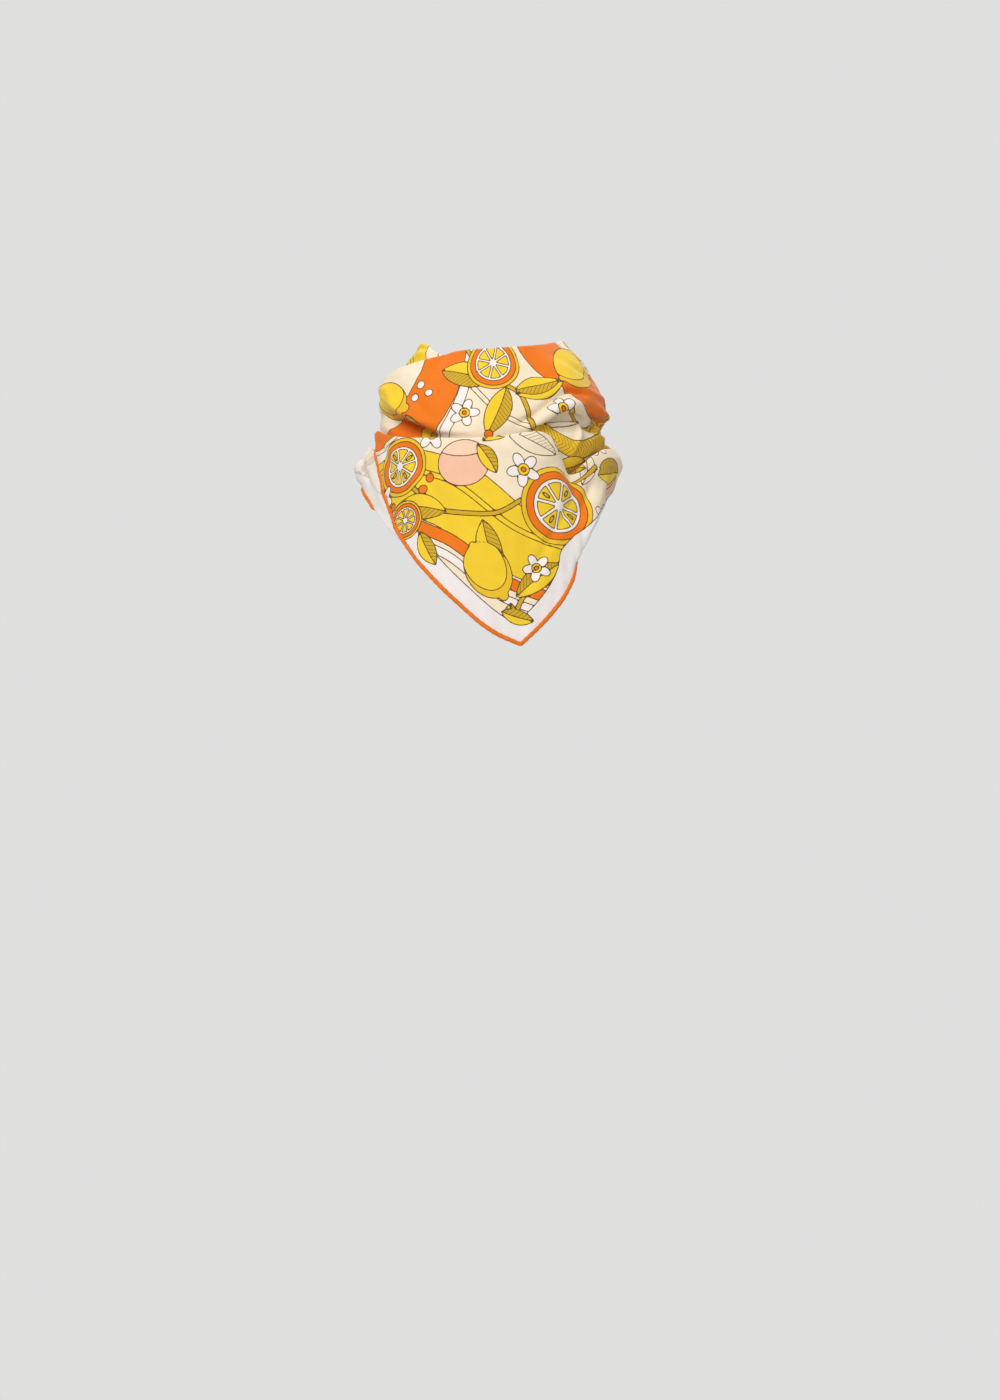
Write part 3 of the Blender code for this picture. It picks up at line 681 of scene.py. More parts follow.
# --------------------------------------------------------------------------------------------------
# The print: citrus fruit, leaves and blossom on an ivory ground, in flat colours with a thin brown outline. It is
# drawn on the flat cloth. Each colour is kept at each point as the distance to its edge, negative inside it, so
# that the finish can draw both the colour and its outline.
GROUND = (0.87, 0.735, 0.535)
LEMON, DEEP_LEMON, OLIVE = (0.87, 0.585, 0.024), (0.82, 0.50, 0.020), (0.62, 0.38, 0.016)
ORANGE, PALE, PEACH = (0.82, 0.175, 0.002), (0.88, 0.80, 0.745), (0.87, 0.60, 0.42)
MARGIN = 13.0            # the plain border inside the hem
INKS = {
    "field": LEMON,
    "stripe": PALE,
    "blush": PEACH,
    "blush_lap": (0.87, 0.50, 0.33),
    "sketch": GROUND,
    "paper": GROUND,
    "paper_lap": GROUND,
    "sun": LEMON,
    "tangerine": ORANGE,
    "lemon": LEMON,
    "lemon_lap": DEEP_LEMON,
    "shade": OLIVE,
    "white": PALE,
    "orange": ORANGE,
    "rind": DEEP_LEMON,
    "margin": (0.83, 0.775, 0.75),
}
OUTLINE = (0.105, 0.045, 0.012)
OUTLINE_WIDTH = 0.72
VEIN_PITCH = 3.4
VEIN_WIDTH = 0.42
FAR = 30.0               # a distance that is plainly outside
BLEED_MIDDLE, BLEED_RADIUS = (-165, 95), 98  # where the design runs over the border to the hem
PRINT_LEFT, PRINT_RIGHT = -168, 192          # the drawn width; beyond it the print turns back on itself


def turned(points, middle, angle):
    """Points as seen from a motif's middle, with its own length along x."""
    c, s = math.cos(math.radians(angle)), math.sin(math.radians(angle))
    away = points - np.array(middle, dtype=float)
    return away[..., 0] * c + away[..., 1] * s, away[..., 1] * c - away[..., 0] * s


def disc(points, middle, radius):
    return np.linalg.norm(points - np.array(middle, dtype=float), axis=-1) - radius


def oval(points, middle, angle, half_length, half_width):
    x, y = turned(points, middle, angle)
    near = np.sqrt((x / half_length) ** 2 + (y / half_width) ** 2)
    slope = np.sqrt((x / half_length ** 2) ** 2 + (y / half_width ** 2) ** 2)
    return np.where(near > 0.05, near * (near - 1) / np.maximum(slope, 1e-6), -half_width)


def blade(x, y, half_length, half_width):
    """A leaf's outline, between two arcs."""
    radius = (half_length ** 2 + half_width ** 2) / (2 * half_width)
    return np.maximum(np.hypot(x, y + radius - half_width), np.hypot(x, y - radius + half_width)) - radius


def strip(points, path, half_width):
    """A ribbon of even width along a smooth line through the path's points, and the chevrons that can fill it."""
    path = np.array(path, dtype=float)
    marks = np.arange(len(path))
    fine = np.linspace(0, len(path) - 1, 8 * len(path))
    line = np.stack([smooth(marks, path[:, k], fine) for k in (0, 1)], axis=1)
    away, along = nearest(points, line)
    return away - half_width, along * np.linalg.norm(np.diff(line, axis=0), axis=1).sum() + 0.9 * away


class Print:
    """The drawn cloth: for each ink the distance to its edge, and the measure that its fine lines follow."""

    def __init__(self, points):
        mirrored = points.copy()
        width = PRINT_RIGHT - PRINT_LEFT
        folded = np.mod(points[..., 0] - PRINT_LEFT, 2 * width)
        mirrored[..., 0] = PRINT_LEFT + np.where(folded > width, 2 * width - folded, folded)
        self.points = mirrored
        self.edges = {ink: np.full(points.shape[:-1], FAR) for ink in INKS}
        self.veins = np.full(points.shape[:-1], VEIN_PITCH / 2)
        self.veined = np.full(points.shape[:-1], FAR)
        self.fruit = np.full(points.shape[:-1] + (3,), FAR)

    def lay(self, ink, edge, veins=None):
        """Prints one shape over what is there already."""
        for name in self.edges:
            self.edges[name] = np.maximum(self.edges[name], -edge)
        self.edges[ink] = np.minimum(self.edges[ink], edge)
        self.veined = np.maximum(self.veined, -edge)
        if veins is not None:
            self.veins = np.where(edge < 2.5, veins, self.veins)
            self.veined = np.minimum(self.veined, edge)

    def leaf(self, root, angle, length, width, bow=0.12, inks=("lemon", "shade")):
        x, y = turned(self.points, root, angle)
        x = x - length / 2
        y = y - bow * (length / 4 - x ** 2 / length)
        edge = blade(x, y, length / 2, width / 2)
        self.lay(inks[0], edge)
        self.lay(inks[1], np.maximum(edge, y), x - 0.8 * abs(y))

    def wheel(self, middle, radius, angle=0):
        """A citrus fruit cut across. The finish draws its flesh from where each point lies on it."""
        x, y = turned(self.points, middle, angle)
        away = np.hypot(x, y)
        self.lay("rind", away - radius)
        own = np.stack([x, y, np.full(x.shape, float(radius))], axis=-1)
        self.fruit = np.where((away < radius + 4)[..., None], own, self.fruit)

    def lemon(self, middle, angle, length):
        """A whole lemon with its nipple, shaded on its lower side."""
        x, y = turned(self.points, middle, angle)
        body = oval(self.points, middle, angle, 0.46 * length, 0.335 * length)
        tip = np.minimum(np.hypot(x - 0.46 * length, y) - 0.075 * length, np.hypot(x + 0.45 * length, y) - 0.05 * length)
        edge = np.minimum(body, tip)
        self.lay("lemon", edge)
        lit = np.array(middle, dtype=float) - (0.05 * length, 0.10 * length)
        self.lay("lemon_lap", np.maximum(edge, -oval(self.points, lit, angle, 0.44 * length, 0.30 * length)))

    def peach(self, middle, angle, length):
        """A peach with its cleft, its smaller lobe in a deeper blush."""
        edge = oval(self.points, middle, angle, 0.5 * length, 0.44 * length)
        x, y = turned(self.points, middle, angle)
        self.lay("blush", edge)
        self.lay("blush_lap", np.maximum(edge, length - np.hypot(x + 0.1 * length, y + 1.12 * length)))

    def blossom(self, middle, radius, angle=0, ink="white"):
        for k in range(5):
            turn = angle + 72 * k
            out = np.array((math.cos(math.radians(turn)), math.sin(math.radians(turn))))
            heart = np.array(middle) + 0.58 * radius * out
            self.lay(ink, oval(self.points, heart, turn, 0.44 * radius, 0.30 * radius))
        self.lay("lemon", disc(self.points, middle, 0.34 * radius))
        self.lay("orange", disc(self.points, middle, 0.15 * radius))

    def ribbon(self, ink, path, width, plaited=False):
        edge, chevrons = strip(self.points, path, width / 2)
        self.lay(ink, edge, chevrons if plaited else None)

    def berries(self, places, radius, ink="orange"):
        for middle in places:
            self.lay(ink, disc(self.points, middle, radius))


def printed_on(points, from_hem):
    """The whole design, from the broad fields over the motifs to the border; from_hem is each point's way to it."""
    p = Print(points)
    # broad fields, with lines that run along them
    p.ribbon("field", ((-190, 150), (-120, 128), (-60, 150), (0, 196), (60, 214), (120, 190), (200, 175)), 50)
    p.ribbon("sun", ((-190, 140), (-120, 118), (-60, 140), (0, 186), (60, 204), (120, 180), (200, 165)), 4)
    p.ribbon("tangerine", ((-190, 180), (-120, 161), (-62, 184), (-8, 227), (58, 246), (130, 224), (210, 207)), 9)
    p.ribbon("stripe", ((-190, 191), (-120, 172), (-64, 196), (-12, 239), (58, 258), (130, 236), (210, 219)), 6)
    p.ribbon("tangerine", ((-200, 60), (-130, 78), (-84, 62), (-50, 18), (-42, -30)), 40)
    p.ribbon("stripe", ((-200, 88), (-128, 106), (-66, 84), (-26, 22), (-20, -30)), 8)
    p.ribbon("tangerine", ((40, -30), (56, 10), (92, 44), (150, 52), (220, 40)), 50)
    p.ribbon("stripe", ((70, -30), (84, -4), (116, 18), (160, 22), (220, 10)), 6)
    p.ribbon("field", ((96, 84), (128, 100), (170, 96), (220, 100)), 30)
    p.ribbon("sketch", ((-24, 26), (2, 62), (30, 76), (70, 74)), 4)
    p.ribbon("lemon_lap", ((26, 78), (60, 96), (98, 88), (140, 108), (210, 128)), 13, True)
    # line-drawn leaves on the bare cloth
    p.leaf((-10, 108), 22, 44, 18, 0.12, ("paper", "paper_lap"))
    p.leaf((58, 146), -58, 34, 15, 0.1, ("paper", "paper_lap"))
    p.leaf((-124, 14), 200, 42, 18, 0.1, ("paper", "paper_lap"))
    p.leaf((2, 84), 96, 26, 12, 0.1, ("paper", "paper_lap"))
    # stems
    p.ribbon("shade", ((-28, -8), (-8, 22), (16, 44), (20, 74)), 3.4)
    p.ribbon("shade", ((-96, 130), (-58, 166), (-22, 172), (24, 150), (76, 134)), 3.4)
    p.ribbon("shade", ((52, 60), (78, 78), (112, 60), (150, 66)), 3.4)
    p.ribbon("shade", ((-14, 262), (-2, 236), (26, 222), (60, 196)), 3.4)
    # fruit
    p.peach((-42, 132), 12, 40)
    p.leaf((-26, 118), -36, 34, 14, 0.12)
    p.leaf((-30, 120), 60, 26, 12, -0.1)
    p.peach((106, 150), -24, 34)
    p.leaf((-4, 30), 205, 50, 21)
    p.leaf((6, 34), 118, 46, 19, -0.12)
    p.leaf((12, 42), -8, 40, 17)
    p.wheel((-2, 12), 23, 20)
    p.leaf((48, 36), 176, 36, 16)
    p.lemon((74, 22), -28, 56)
    p.leaf((98, 6), -50, 36, 15, -0.12)
    p.leaf((104, 52), 22, 44, 18)
    p.wheel((128, 86), 25, 8)
    p.leaf((72, 104), 168, 40, 16, -0.1)
    p.leaf((-58, 166), 196, 46, 19)
    p.leaf((-30, 176), 76, 44, 19)
    p.leaf((76, 140), -10, 40, 17)
    p.leaf((66, 132), 216, 38, 15, -0.1)
    p.wheel((32, 166), 31, 12)
    p.lemon((-28, 214), 62, 50)
    p.leaf((-8, 236), -34, 44, 17, -0.12)
    p.leaf((-12, 240), 96, 26, 12)
    p.wheel((-96, 122), 24, 40)
    p.lemon((-100, 30), 20, 52)
    p.leaf((-76, 44), 70, 38, 16)
    p.lemon((160, 28), 60, 46)
    p.wheel((182, 120), 22, 15)
    # blossom and berries
    p.blossom((-30, 52), 12, 10)
    p.blossom((44, 60), 11, 40)
    p.blossom((-64, 104), 13, 0)
    p.blossom((4, 140), 13, 25)
    p.blossom((88, 116), 11, 50)
    p.blossom((76, 176), 12, 5)
    p.blossom((10, 214), 11, 30)
    p.blossom((-128, 66), 12, 12)
    p.blossom((148, 140), 12, 20)
    p.blossom((-118, 142), 11, 30)
    p.blossom((104, 20), 10, 15)
    p.berries(((-14, 74), (-7, 80), (-18, 82)), 3.4)
    p.berries(((56, 120), (63, 124), (54, 128)), 3.2)
    p.berries(((-70, 138), (-76, 146)), 3.4)
    p.berries(((34, 236), (28, 243), (40, 243)), 3.0)
    p.berries(((4, 250), (9, 245)), 2.6)
    p.berries(((-66, 20), (-58, 28), (-70, 30)), 3.2, "white")
    p.berries(((-106, 152), (-98, 158)), 3.0)
    # the plain border, and what is printed over it
    p.lay("margin", np.maximum(from_hem - MARGIN, -disc(points, BLEED_MIDDLE, BLEED_RADIUS)))
    p.leaf((-80, 178), 66, 30, 13)
    p.wheel((-93, 166), 15, 30)
    p.leaf((-20, 246), 20, 26, 11)
    return p


# --------------------------------------------------------------------------------------------------
# Printed cotton voile: a fine plain weave, dyed through from its right side, so that the wrong side shows the same
# print as a paler ghost. The colours are laid flat and the brown outline last.
THREAD = 0.55            # from one thread to the next
WRONG_SIDE_FADE = 0.62


class Finish:
    """A material in the making: its shader, and short ways to add nodes before it."""

    def __init__(self, name, colour, roughness):
        self.material, self.shader = new_material(name, (*colour[:3], 1), roughness)
        self.tree = self.material.node_tree

    def node(self, kind, output, inputs, **settings):
        made = self.tree.nodes.new("ShaderNode" + kind)
        for name, value in settings.items():
            setattr(made, name, value)
        for key, value in inputs.items():
            if isinstance(value, bpy.types.NodeSocket):
                self.tree.links.new(value, made.inputs[key])
            else:
                made.inputs[key].default_value = value
        return made.outputs[output]

    def measure(self, name):
        return self.node("Attribute", "Fac", {}, attribute_name=name)

    def sum(self, operation, *values):
        return self.node("Math", 0, dict(enumerate(values)), operation=operation)

    def ramp(self, value, low, high, to_low=0.0, to_high=1.0):
        return self.node("MapRange", 0, {0: value, 1: low, 2: high, 3: to_low, 4: to_high})

    def mix(self, share, first, second, blend="MIX"):
        return self.node("Mix", 2, {0: share, 6: first, 7: second}, data_type="RGBA", blend_type=blend)

    def noise(self, places, scale, detail=2.0, stretch=(1, 1, 1)):
        drawn = self.node("VectorMath", 0, {0: places, 1: stretch}, operation="MULTIPLY")
        return self.node("TexNoise", 0, {"Vector": drawn, "Scale": scale, "Detail": detail})

    def finish(self, colour=None, height=None, strength=1.0, roughness=None):
        if colour is not None:
            self.tree.links.new(colour, self.shader.inputs["Base Color"])
        if roughness is not None:
            self.tree.links.new(roughness, self.shader.inputs["Roughness"])
        if height is not None:
            bump = self.node("Bump", 0, {"Strength": strength, "Distance": MM, "Height": height})
            self.tree.links.new(bump, self.shader.inputs["Normal"])
        return self.material


def woven(finish, cut):
    """The height of a plain weave, in millimetres, with threads that vary a little in thickness."""
    across = finish.node("SeparateXYZ", 0, {0: cut})
    down = finish.node("SeparateXYZ", 1, {0: cut})
    waves = [finish.sum("SINE", finish.sum("MULTIPLY", way, 2 * math.pi / THREAD)) for way in (across, down)]
    weave = finish.sum("MULTIPLY", finish.sum("MULTIPLY", *waves), 0.022)
    slubs = finish.sum("ADD", finish.noise(cut, 1.0, 0.0, (0.04, 2.6, 1)), finish.noise(cut, 1.0, 0.0, (2.6, 0.04, 1)))
    handled = finish.noise(cut, 0.11, 3.0)
    height = finish.sum("ADD", weave, finish.sum("MULTIPLY", slubs, 0.03))
    return finish.sum("ADD", height, finish.sum("MULTIPLY", handled, 0.6)), slubs


SEGMENTS = 8
RIND, FLESH, PITH = 0.13, 0.19, 0.09         # the widths of a cut fruit's outer rings, as shares of its radius
WALL, HEART = 0.075, 0.14                    # between two segments, and from the middle to them
PIP = (2.9, 1.3)
PIP_PLACE = 0.42
PIPS_FROM = 24                               # smaller fruit has no pips


def cut_fruit(finish):
    """The colours of a fruit cut across, and how near its lines are."""
    own = finish.node("Attribute", "Vector", {}, attribute_name="fruit")
    x, y, radius = (finish.node("SeparateXYZ", k, {0: own}) for k in range(3))
    away = finish.sum("SQRT", finish.sum("MULTIPLY_ADD", x, x, finish.sum("MULTIPLY", y, y)))
    bearing = finish.sum("ARCTAN2", y, x)
    from_rim = finish.sum("SUBTRACT", away, radius)
    half = math.pi / SEGMENTS
    turn = finish.sum("PINGPONG", bearing, half)
    off_wall = finish.sum("MULTIPLY", away, finish.sum("SINE", turn))
    wall = finish.sum("SUBTRACT", finish.sum("MULTIPLY", radius, WALL / 2), off_wall)
    flesh_edge = finish.sum("MULTIPLY_ADD", radius, RIND + FLESH + PITH, from_rim)
    segment = finish.sum("SMOOTH_MAX", flesh_edge, wall, 1.6)
    segment = finish.sum("SMOOTH_MAX", segment, finish.sum("SUBTRACT", finish.sum("MULTIPLY", radius, HEART), away), 1.2)
    turn = finish.sum("SUBTRACT", half, turn)
    along = finish.sum("MULTIPLY_ADD", away, finish.sum("COSINE", turn), finish.sum("MULTIPLY", radius, -PIP_PLACE))
    along = finish.sum("MULTIPLY", along, PIP[1] / PIP[0])
    across = finish.sum("MULTIPLY", away, finish.sum("SINE", turn))
    pip = finish.sum("SQRT", finish.sum("MULTIPLY_ADD", along, along, finish.sum("MULTIPLY", across, across)))
    every_other = finish.ramp(finish.sum("SINE", finish.sum("MULTIPLY", bearing, SEGMENTS / 2)), -0.01, 0.01, FAR, 0)
    large = finish.ramp(radius, PIPS_FROM - 0.2, PIPS_FROM, FAR, 0)
    pip = finish.sum("ADD", finish.sum("SUBTRACT", pip, PIP[1]), finish.sum("ADD", every_other, large))
    colour, closest = (*DEEP_LEMON, 1), FAR
    rings = ((finish.sum("MULTIPLY_ADD", radius, RIND, from_rim), ORANGE),
             (finish.sum("MULTIPLY_ADD", radius, RIND + FLESH, from_rim), PALE), (segment, LEMON), (pip, OLIVE))
    for edge, dye in rings:
        colour = finish.mix(finish.ramp(edge, 0.08, -0.08), colour, (*dye, 1))
        closest = finish.sum("MINIMUM", closest, finish.sum("ABSOLUTE", edge))
    return colour, closest


def printed_cotton(name, fade):
    """The printed cloth; fade is how far the dye is lost, 0 on the right side."""
    finish = Finish(name, GROUND, 0.78)
    cut = finish.node("Attribute", "Vector", {}, attribute_name="cut")
    colour = (*GROUND, 1)
    closest = None
    for ink, dye in INKS.items():
        edge = finish.measure("edge_" + ink)
        colour = finish.mix(finish.ramp(edge, 0.08, -0.08), colour, (*dye, 1))
        away = finish.sum("ABSOLUTE", edge)
        closest = away if closest is None else finish.sum("MINIMUM", closest, away)
    inside = finish.ramp(finish.measure("edge_rind"), -0.1, -0.3)
    fruit, fruit_lines = cut_fruit(finish)
    colour = finish.mix(inside, colour, fruit)
    plain = finish.ramp(inside, 0, 1, FAR, 0)
    closest = finish.sum("MINIMUM", closest, finish.sum("ADD", fruit_lines, plain))
    unsure = finish.ramp(finish.noise(cut, 0.35, 2.0), 0.3, 0.7, 0.78, 1.22)
    line = finish.sum("MULTIPLY", unsure, OUTLINE_WIDTH / 2)
    drawn = finish.ramp(finish.sum("SUBTRACT", closest, line), 0.09, -0.09)
    vein = finish.sum("PINGPONG", finish.measure("veins"), VEIN_PITCH / 2)
    vein = finish.ramp(vein, VEIN_WIDTH / 2 + 0.08, VEIN_WIDTH / 2 - 0.08)
    vein = finish.sum("MULTIPLY", vein, finish.ramp(finish.measure("veined"), -0.2, -0.6))
    colour = finish.mix(finish.sum("MAXIMUM", drawn, vein), colour, (*OUTLINE, 1))
    if fade:
        colour = finish.mix(fade, colour, (0.84, 0.80, 0.74, 1))
    height, slubs = woven(finish, cut)
    blotch = finish.ramp(finish.noise(cut, 0.06, 3.0), 0.25, 0.75, 0.955, 1.03)
    thread = finish.ramp(slubs, 0.6, 1.4, 0.975, 1.02)
    tone = finish.sum("MULTIPLY", blotch, thread)
    shown = finish.node("VectorMath", 0, {0: colour, 1: finish.node("CombineXYZ", 0, {0: tone, 1: tone, 2: tone})},
                        operation="MULTIPLY")
    finish.shader.inputs["Sheen Weight"].default_value = 0.18
    finish.shader.inputs["Sheen Roughness"].default_value = 0.45
    finish.shader.inputs["Specular IOR Level"].default_value = 0.25
    return finish.finish(shown, height, 0.5)


printed = printed_cotton("printed_cotton", 0)
wrong_side = printed_cotton("cotton_wrong_side", WRONG_SIDE_FADE)


def dyed(piece, flat, hem=None):
    """Gives a piece its print, from where its points lie on the flat cloth and the flat line of its hem."""
    points = flat.reshape(-1, 2)
    design = printed_on(points, np.full(len(points), FAR) if hem is None else nearest(points, hem[::3])[0])
    measures = {"edge_" + ink: edge for ink, edge in design.edges.items()}
    measures["veins"] = design.veins
    measures["veined"] = design.veined
    for name, values in measures.items():
        made = piece.data.attributes.new(name, "FLOAT", "POINT")
        made.data.foreach_set("value", np.asarray(values, dtype=np.float32))
    cut = np.concatenate([points, np.zeros((len(points), 1))], axis=1)
    for name, values in (("cut", cut), ("fruit", design.fruit)):
        made = piece.data.attributes.new(name, "FLOAT_VECTOR", "POINT")
        made.data.foreach_set("vector", np.asarray(values, dtype=np.float32).ravel())


# --------------------------------------------------------------------------------------------------
# The front ply in cloth: the band with its wraps round to the nape, and the drop with its run over the shoulder.
SHELL = 0.5
PLY_GAP = 2.0            # from one ply to the other below the fold at the neck


def cut_of(flat):
    """The size and the area of a stretch as it is cut, in metres."""
    across, down = flat[1:, 1:] - flat[:-1, :-1], flat[:-1, 1:] - flat[1:, :-1]
    area = 0.5 * abs(across[..., 0] * down[..., 1] - across[..., 1] * down[..., 0]).sum()
    size = np.ptp(flat.reshape(-1, 2), axis=0)
    return {"flat": tuple(float(side) * MM for side in size), "area": float(area) * MM * MM}


def two_ply_cut(flat, inside):
    """The cut of a stretch that runs on past the fold: both plies, opened out."""
    outer, inner = cut_of(flat), cut_of(inside)
    return {"flat": (outer["flat"][0], outer["flat"][1] + inner["flat"][1]), "area": outer["area"] + inner["area"]}


def joined(grids):
    return np.concatenate([grid.reshape(-1, grid.shape[-1]) for grid in grids])


def past_fold(grid, flat, rows):
    """The second ply of a stretch, which the fold along its first row turns down inside, and its flat cloth."""
    inside = (grid - PLY_GAP * outward(grid))[:, rows]
    crest = 0.5 * (grid[:, :1] + inside[:, :1]) + (0, 0, 0.45 * PLY_GAP)
    both = np.concatenate([grid[:, :1], crest, inside], axis=1)
    cut = np.concatenate([flat[:, :1], flat[:, :1], flat[:, rows]], axis=1)
    return both[::-2], cut[::-2]


def cloth(name, grids, *materials):
    """Stretches of cloth as thin closed shells in one piece. The second material is on their other side."""
    faces, start = [], 0
    for grid in grids:
        faces += [tuple(start + corner for corner in face) for face in grid_faces(*grid.shape[:2])]
        start += grid[..., 0].size
    made = new_piece(name, joined(grids), faces, *materials)
    shell = made.modifiers.new("Cloth wall", "SOLIDIFY")
    shell.thickness = SHELL * MM
    shell.offset = 0
    shell.material_offset = len(materials) - 1
    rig.ride(made, "root")
    return made


INSIDE_ROW = 92          # how far down the band its second ply can be seen
band_ply, band_flat = front_ply[:, :POCKET_ROW + 1], front_flat[:, :POCKET_ROW + 1]
band_inside, band_inside_flat = past_fold(band_ply, band_flat, slice(0, INSIDE_ROW, 2))
band_piece = cloth("neck_band_cloth", [band_ply, band_inside], printed, wrong_side)
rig.replaces(band_piece, "neck_band", "wrap_left", "wrap_right")
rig.slot(band_piece, "printed_cotton")
front_hem_flat = front_flat[drop_from:, HEM_ROW]
dyed(band_piece, joined([band_flat, band_inside_flat]))
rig.sheet(band_piece, held="gathered", **two_ply_cut(band_flat, band_inside_flat))
drop_piece = cloth("front_drop_cloth", [front_ply[drop_from:, POCKET_ROW:]], printed, wrong_side)
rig.replaces(drop_piece, "front_drop", "shoulder_wrap_right")
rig.slot(drop_piece, "printed_cotton")
dyed(drop_piece, front_flat[drop_from:, POCKET_ROW:], front_hem_flat)

# --------------------------------------------------------------------------------------------------
# The second ply. It hangs behind the front one with its wrong side out, shows a pale margin past the front hem,
# and runs up over the left shoulder to the knot.
UNDER_END = 52
UNDER_STEP = 1.1
UNDER_STEPS = (26, 44)
UNDER_SHIFT = (24, 60)   # where the print lies on it
UNDER_COLUMNS = ("turn", "top_r", "top_z", "mid_r", "mid_z", "hem_r", "hem_z")
UNDER_ROWS = (
    (-171, 68.5, -26, 71, -30, 69, -34),
    (-146, 77, -39, 82, -45, 79, -54),
    (-126, 87, -50, 94, -57, 91, -68),
    (-106, 97, -54, 107, -64, 103, -80),
    (-91, 100, -54, 111.5, -69.5, 105, -86),
    (-83, 97.5, -56, 106, -71, 104.5, -89),
    (-78, 96.5, -60, 102, -76, 104.5, -92),
    (-70, 95.5, -64, 99.5, -82, 102.8, -101),
    (-62, 95, -67, 98.5, -87, 104, -109),
    (-50, 95, -71, 98.5, -93, 105, -124.5),
    (-40, 95, -74, 99.5, -100, 107, -136.5),
    (-30, 95, -77, 101, -108, 109.5, -148),
    (-15, 95, -80, 102.5, -124, 111.5, -175.5),
    (0, 95, -80, 103.5, -135, 112.5, -199),
    (10, 95, -78, 104, -138, 113, -205),
    (20, 94.5, -78, 102.5, -126, 111.5, -186),
    (30, 94, -86, 101, -120, 111, -160),
    (40, 94, -98, 99.5, -112, 107.5, -128),
    (52, 94, -90, 96.5, -98, 98.5, -108),
)
UNDER = table(UNDER_COLUMNS, UNDER_ROWS)
under_turns = np.arange(NAPE_LEFT, UNDER_END, UNDER_STEP)
under_lines = profile(section(UNDER, ("top", "mid", "hem"), under_turns, TIP_TURN), UNDER_STEPS)
under_ply = stood(under_turns, drawn_in(under_turns, under_lines))
under_flat = flattened(under_ply) + UNDER_SHIFT
UNDER_STATIONS = (0, UNDER_STEPS[0], sum(UNDER_STEPS))
# Places are (turn, how far down), from 0 at the top over 1 at the middle to 2 at the hem.
UNDER_CREASES = (
    (((-168, 0.4), (-146, 0.5), (-118, 0.6)), 2.4, 1.3, 2.2),
    (((-168, 1.2), (-144, 1.2), (-112, 1.1)), 2.4, -1.2, 2.4),
    (((-130, 0.3), (-108, 0.5), (-86, 0.9)), 4, -1.6, 0.8),
    (((-118, 1.3), (-98, 1.5), (-80, 1.6)), 4, 1.3, 0.8),
    (((-96, 0.3), (-84, 0.8), (-72, 1.4)), 4.5, -1.7, 0.7),
    (((-80, 0.7), (-66, 1.2), (-50, 1.7)), 5, 1.3, 0.7),
    (((-56, 0.5), (-40, 1.0), (-22, 1.6)), 7, -1.3, 0.7),
    (((30, 0.5), (24, 1.1), (14, 1.7)), 7, -1.2, 0.7),
    (((6, 0.4), (8, 1.0), (10, 1.6)), 8, 1.2, 0.7),
)
under_push = creased(under_flat, on_flat(under_flat, under_turns, UNDER_STATIONS, UNDER_CREASES))
under_push += creased(under_flat, small_creases(under_flat, UNDER_SMALL, small), SMALL_FADE)
under_ply += outward(under_ply) * under_push[..., None]
under_piece = cloth("under_ply_cloth", [under_ply], wrong_side, printed)
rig.replaces(under_piece, "under_ply", "shoulder_wrap_left")
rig.slot(under_piece, "cotton_wrong_side")
dyed(under_piece, under_flat, under_flat[:, -1])

# --------------------------------------------------------------------------------------------------
# The inner wrap: the layer that hugs the left of the neck, inside the band's open corner.
INNER_END = -43
INNER_SHIFT = (-60, 150)
INNER_STEPS = (12, 16)
INNER_COLUMNS = ("turn", "top_r", "top_z", "mid_r", "mid_z", "low_r", "low_z")
INNER_ROWS = (
    (-43, 56.5, 12.4, 57.5, 7, 59, -2),
    (-60, 56.5, 20, 60.5, 14, 67, -5),
    (-76, 56, 26.5, 61.5, 20.5, 74, -7),
    (-88, 56, 28.3, 62.5, 22.5, 78, -8),
    (-97, 56, 28.3, 63, 22, 79, -8),
    (-110, 57, 26, 62.5, 19, 77, -10),
    (-130, 58, 20, 61.5, 14, 69, -6),
    (-150, 60, 12, 61.5, 7, 64, -4),
    (-171, 60, 3, 60.5, 0, 61, -5),
)
INNER = table(INNER_COLUMNS, INNER_ROWS)
inner_turns = np.arange(NAPE_LEFT, INNER_END, UNDER_STEP)
inner_lines = profile(section(INNER, ("top", "mid", "low"), inner_turns), INNER_STEPS)
inner_wrap = stood(inner_turns, drawn_in(inner_turns, inner_lines))
inner_flat = flattened(inner_wrap) + INNER_SHIFT
INNER_STATIONS = (0, INNER_STEPS[0], sum(INNER_STEPS))
# Places are (turn, how far down), from 0 at the fold to 2 at the bottom.
INNER_CREASES = (
    (((-64, 0.1), (-80, 0.6), (-98, 1.2)), 2.2, -1.3, 0.8),
    (((-74, 0.0), (-86, 0.35), (-100, 0.7)), 1.9, 1.5, 0.8),
    (((-82, 0.0), (-92, 0.2), (-106, 0.4)), 1.8, -1.4, 0.8),
    (((-92, 0.0), (-102, 0.15), (-122, 0.3)), 2.0, 1.2, 1.2),
    (((-60, 0.5), (-76, 1.1), (-92, 1.6)), 3.0, 1.4, 0.8),
    (((-168, 0.6), (-146, 0.7), (-120, 0.8)), 2.0, -1.0, 2.0),
)
inner_push = creased(inner_flat, on_flat(inner_flat, inner_turns, INNER_STATIONS, INNER_CREASES))
inner_push += creased(inner_flat, small_creases(inner_flat, INNER_SMALL, small), SMALL_FADE)
inner_wrap += outward(inner_wrap) * inner_push[..., None]
inner_inside, inner_inside_flat = past_fold(inner_wrap, inner_flat, slice(0, None, 2))
inner_piece = cloth("inner_wrap_cloth", [inner_wrap, inner_inside], printed, wrong_side)
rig.replaces(inner_piece, "inner_wrap_left")
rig.slot(inner_piece, "printed_cotton")
